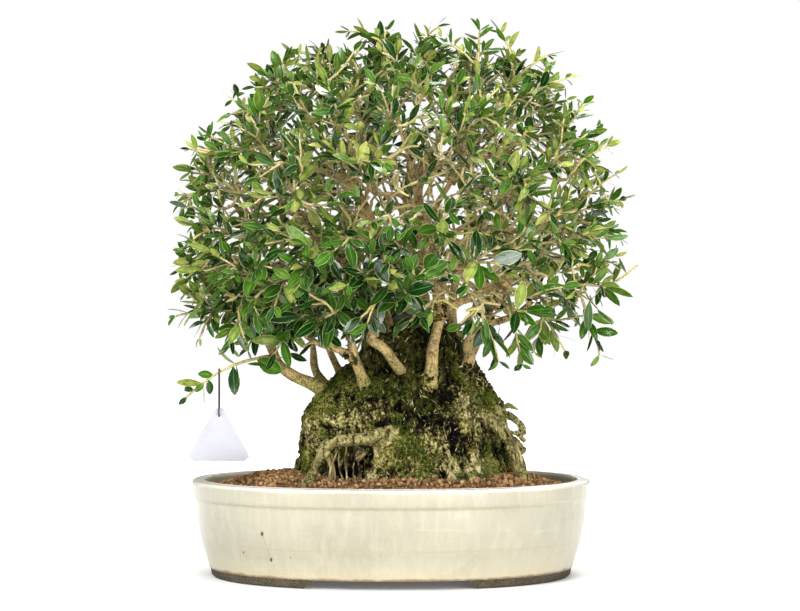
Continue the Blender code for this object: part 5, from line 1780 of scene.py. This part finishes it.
def make_label(settings):
    hole = label_hole()
    outline = sorted(label_outline(), key=lambda corner: math.atan2(corner[1] + LABEL_MIDDLE_DROP, corner[0]))

    def corner(turn, row):
        x, z = outline[round((turn / math.pi + 1) * len(outline) / 2 - 0.5)]
        return hole + Vector((x, LABEL_THICKNESS * (row - 0.5), z))

    label = drawn_up("blank_label", len(outline), 2, corner)
    bore = primitive("cylinder", vertices=32, radius=LABEL_HOLE_RADIUS, depth=LABEL_THICKNESS * 10)
    bore.data.transform(Matrix.Translation(hole) @ Matrix.Rotation(math.pi / 2, 4, "X"))
    cut_with(label, "DIFFERENCE", bore)
    apply_modifier(label, "BEVEL", width=0.00022, segments=2, limit_method="ANGLE")
    shade(label)
    finish = look_plain("white_label", settings.colour, 0.38, 30.0, 0.0002)
    finish_piece(label, "label_plastic", [finish], "label")
    points = loop_points()
    loop = smooth_line([*points, points[0]], 0.0012)
    wire = tubes("wire_loop", [[(p, WIRE_RADIUS * 0.85) for p in loop]], 2)
    shade(wire)
    finish = look_plain("brown_wire", settings.wire, 0.45, 300.0, 0.0002)
    finish_piece(wire, "wire", [finish], "label_wire")


def make_screens():
    finish = look_plain("black_mesh_plastic", (0.03, 0.03, 0.03), 0.55, 700.0, 0.0003)
    for name in ("drain_screen_left", "drain_screen_right"):
        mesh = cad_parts[name].data
        mesh.materials.clear()
        mesh.materials.append(finish)


def make_world(strength):
    """Even light from all round, and plain white where the camera looks past the floor."""
    world = bpy.data.worlds.new("studio")
    world.use_nodes = True
    nodes, links = world.node_tree.nodes, world.node_tree.links
    sky = nodes["Background"]
    sky.inputs["Color"].default_value = (0.96, 0.98, 1.0, 1.0)
    sky.inputs["Strength"].default_value = strength
    paper = nodes.new("ShaderNodeBackground")
    paper.inputs["Color"].default_value = (1.0, 1.0, 1.0, 1.0)
    mixed = nodes.new("ShaderNodeMixShader")
    ray = nodes.new("ShaderNodeLightPath").outputs["Is Camera Ray"]
    for slot, source in enumerate((ray, sky.outputs[0], paper.outputs[0])):
        links.new(source, mixed.inputs[slot])
    links.new(mixed.outputs[0], nodes["World Output"].inputs["Surface"])
    return world


def make_stage(settings):
    scene = bpy.context.scene
    floor = primitive("circle", vertices=96, radius=FLOOR_RADIUS, fill_type="NGON")
    floor.name = floor.data.name = "floor"
    # The floor glows, dimly by the pot and fully white farther out, so that it fades into the white backdrop; its glow
    # also lights the crown and pot from below.
    look = Look("glowing_pale_floor", settings.floor)
    glow = look.span(look.vector("LENGTH", look.place, output="Value"), 0.20, 1.3, 0.12, 1.0)
    floor.data.materials.append(look.finish(Roughness=0.8, Specular_IOR_Level=0.2, Emission_Color=(1.0, 1.0, 1.0),
                                            Emission_Strength=glow))
    scene.world = make_world(settings.sky)
    for name, place, size, share in LIGHTS:
        deselect()
        bpy.ops.object.light_add(type="AREA", location=place)
        lamp = bpy.context.object
        lamp.name = name
        lamp.data.size = size
        lamp.data.energy = settings.light * share
        lamp.rotation_euler = (LIT_POINT - Vector(place)).to_track_quat("-Z", "Y").to_euler()
    deselect()
    bpy.ops.object.camera_add(location=SHIFT + Vector((CAMERA_RIGHT, -settings.distance, settings.height)),
                              rotation=(math.radians(90 + settings.tilt), 0, 0))
    camera = bpy.context.object
    camera.data.lens = settings.lens
    camera.data.sensor_width = 36.0
    camera.data.clip_start = 0.05
    scene.camera = camera
    scene.view_settings.view_transform = "Standard"
    scene.view_settings.gamma = settings.gamma


def colour(name, about, default):
    return FloatVectorProperty(name=name, description=about, subtype="COLOR", size=3, min=0.0, max=1.0,
                               default=default)


class BonsaiPot(bpy.types.PropertyGroup):
    glaze: colour("Glaze", "Colour of the cream glaze", (0.412, 0.391, 0.304))
    clay: colour("Bare clay", "Colour of the unglazed feet", (0.095, 0.083, 0.056))


class BonsaiSoil(bpy.types.PropertyGroup):
    grain_colour: colour("Grains", "Colour of the baked granules", (0.34, 0.190, 0.078))
    grain_size: FloatProperty(name="Grain size", description="Mean size across a granule", default=0.0044,
                              min=0.002, max=0.008, unit="LENGTH")


class BonsaiWood(bpy.types.PropertyGroup):
    old_bark: colour("Old bark", "Colour of the stump's bare bark", (0.075, 0.058, 0.022))
    young_bark: colour("Limb bark", "Colour of the limbs' tan bark", (0.43, 0.310, 0.140))
    moss: colour("Moss", "Colour of the moss", (0.105, 0.150, 0.014))
    lichen: colour("Bright moss", "Colour of the driest moss and lichen", (0.40, 0.37, 0.10))
    moss_tufts: IntProperty(name="Moss tufts", description="How many tufts of moss grow on the stump", default=6500,
                            min=0, max=12000)
    litter: IntProperty(name="Litter", description="How many dry fibres and chips lie on the stump", default=3600,
                        min=0, max=8000)


class BonsaiCrown(bpy.types.PropertyGroup):
    leaf: colour("Leaf", "Colour of an old leaf", (0.003, 0.042, 0.004))
    full_leaf: colour("Full leaf", "Colour of a grown leaf", (0.066, 0.188, 0.012))
    young_leaf: colour("Young leaf", "Colour of a young leaf", (0.430, 0.460, 0.110))
    twig: colour("Twig", "Colour of the thin twigs", (0.50, 0.42, 0.20))
    shoots: IntProperty(name="Shoots", description="Leafy shoots besides the sprays' own", default=760, min=0, max=1200)
    inner_twigs: IntProperty(name="Inner twigs", description="Bare twigs inside the crown", default=1250, min=0,
                             max=2000)
    inner_leaves: FloatProperty(name="Inner leaves", description="Share of the inner twigs that carry leaves",
                                default=0.22, min=0.0, max=1.0, subtype="FACTOR")


class BonsaiLabel(bpy.types.PropertyGroup):
    colour: colour("Label", "Colour of the blank label", (0.45, 0.45, 0.487))
    wire: colour("Wire", "Colour of the label's wire", (0.030, 0.016, 0.018))


class BonsaiStage(bpy.types.PropertyGroup):
    floor: colour("Floor", "Colour of the floor", (0.90, 0.90, 0.90))
    light: FloatProperty(name="Light", description="Power of the main light", default=38.5, min=0.0, unit="POWER")
    sky: FloatProperty(name="Surroundings", description="Strength of the even light from all round", default=0.24,
                       min=0.0)
    distance: FloatProperty(name="Camera distance", description="From the pot's middle to the camera", default=1.83,
                            min=0.5, unit="LENGTH")
    height: FloatProperty(name="Camera height", description="Height of the camera over the floor", default=0.235,
                          min=0.0, unit="LENGTH")
    lens: FloatProperty(name="Lens", description="Focal length of the camera in millimetres", default=81.5, min=10.0,
                        unit="CAMERA")
    tilt: FloatProperty(name="Tilt", description="How many degrees the camera looks up", default=1.07)
    gamma: FloatProperty(name="Gamma", description="Gamma of the picture", default=0.90, min=0.1, max=5.0)


class BONSAI_OT_pot(bpy.types.Operator):
    """Draws up the oval pot, joins its feet, cuts its drain holes and glazes it"""
    bl_idname = "bonsai.pot"
    bl_label = "Glazed pot"

    def execute(self, context):
        make_pot(context.scene.bonsai_pot)
        return {"FINISHED"}


class BONSAI_OT_screens(bpy.types.Operator):
    """Gives the two screens over the drain holes their plastic"""
    bl_idname = "bonsai.screens"
    bl_label = "Drain screens"

    def execute(self, context):
        make_screens()
        return {"FINISHED"}


class BONSAI_OT_soil(bpy.types.Operator):
    """Fills the pot with a bed of soil and scatters its granules"""
    bl_idname = "bonsai.soil"
    bl_label = "Soil"

    def execute(self, context):
        make_soil(context.scene.bonsai_soil)
        return {"FINISHED"}


class BONSAI_OT_stump(bpy.types.Operator):
    """Draws up the stump with its roots, carves its bark, plants moss on it and strews dry fibres"""
    bl_idname = "bonsai.stump"
    bl_label = "Mossy stump"

    def execute(self, context):
        settings = context.scene.bonsai_wood
        stump = make_stump(settings)
        make_moss(settings, stump)
        make_litter(settings, stump)
        make_fine_roots()
        return {"FINISHED"}


class BONSAI_OT_limbs(bpy.types.Operator):
    """Grows the limbs and branches, the sawn stub and the charred one"""
    bl_idname = "bonsai.limbs"
    bl_label = "Limbs"

    def execute(self, context):
        make_limbs(context.scene.bonsai_wood, grown()[0])
        return {"FINISHED"}


class BONSAI_OT_crown(bpy.types.Operator):
    """Grows the leafy sprays and the bare twigs inside the crown"""
    bl_idname = "bonsai.crown"
    bl_label = "Leafy crown"

    def execute(self, context):
        make_sprays(context.scene.bonsai_crown)
        return {"FINISHED"}


class BONSAI_OT_label(bpy.types.Operator):
    """Cuts the blank label and hangs it on its loop of wire"""
    bl_idname = "bonsai.label"
    bl_label = "Blank label"

    def execute(self, context):
        make_label(context.scene.bonsai_label)
        return {"FINISHED"}


class BONSAI_OT_stage(bpy.types.Operator):
    """Lays the pale floor, which glows more the farther out it lies, and sets the lights and the camera"""
    bl_idname = "bonsai.stage"
    bl_label = "Stage"

    def execute(self, context):
        make_stage(context.scene.bonsai_stage)
        return {"FINISHED"}


class BONSAI_PT_panel(bpy.types.Panel):
    bl_idname = "BONSAI_PT_panel"
    bl_label = "Olive bonsai"
    bl_space_type = "VIEW_3D"
    bl_region_type = "UI"
    bl_category = "Bonsai"

    def draw(self, context):
        for step, group in STEPS:
            column = self.layout.column(align=True)
            column.operator(f"bonsai.{step}")
            settings = getattr(context.scene, f"bonsai_{group}", None) if group else None
            for key in (settings.__annotations__ if settings else ()):
                column.prop(settings, key)


STEPS = (("stage", "stage"), ("pot", "pot"), ("screens", None), ("soil", "soil"), ("stump", "wood"), ("limbs", None),
         ("crown", "crown"), ("label", "label"))
GROUPS = {"pot": BonsaiPot, "soil": BonsaiSoil, "wood": BonsaiWood, "crown": BonsaiCrown, "label": BonsaiLabel,
          "stage": BonsaiStage}
CLASSES = (*GROUPS.values(), BONSAI_OT_pot, BONSAI_OT_screens, BONSAI_OT_soil, BONSAI_OT_stump, BONSAI_OT_limbs,
           BONSAI_OT_crown, BONSAI_OT_label, BONSAI_OT_stage, BONSAI_PT_panel)


def register():
    for kind in CLASSES:
        bpy.utils.register_class(kind)
    for name, kind in GROUPS.items():
        setattr(bpy.types.Scene, f"bonsai_{name}", PointerProperty(type=kind))


def unregister():
    for name in GROUPS:
        delattr(bpy.types.Scene, f"bonsai_{name}")
    for kind in reversed(CLASSES):
        bpy.utils.unregister_class(kind)


def main():
    register()
    for step, _ in STEPS:
        getattr(bpy.ops.bonsai, step)()


if __name__ == "__main__":
    main()
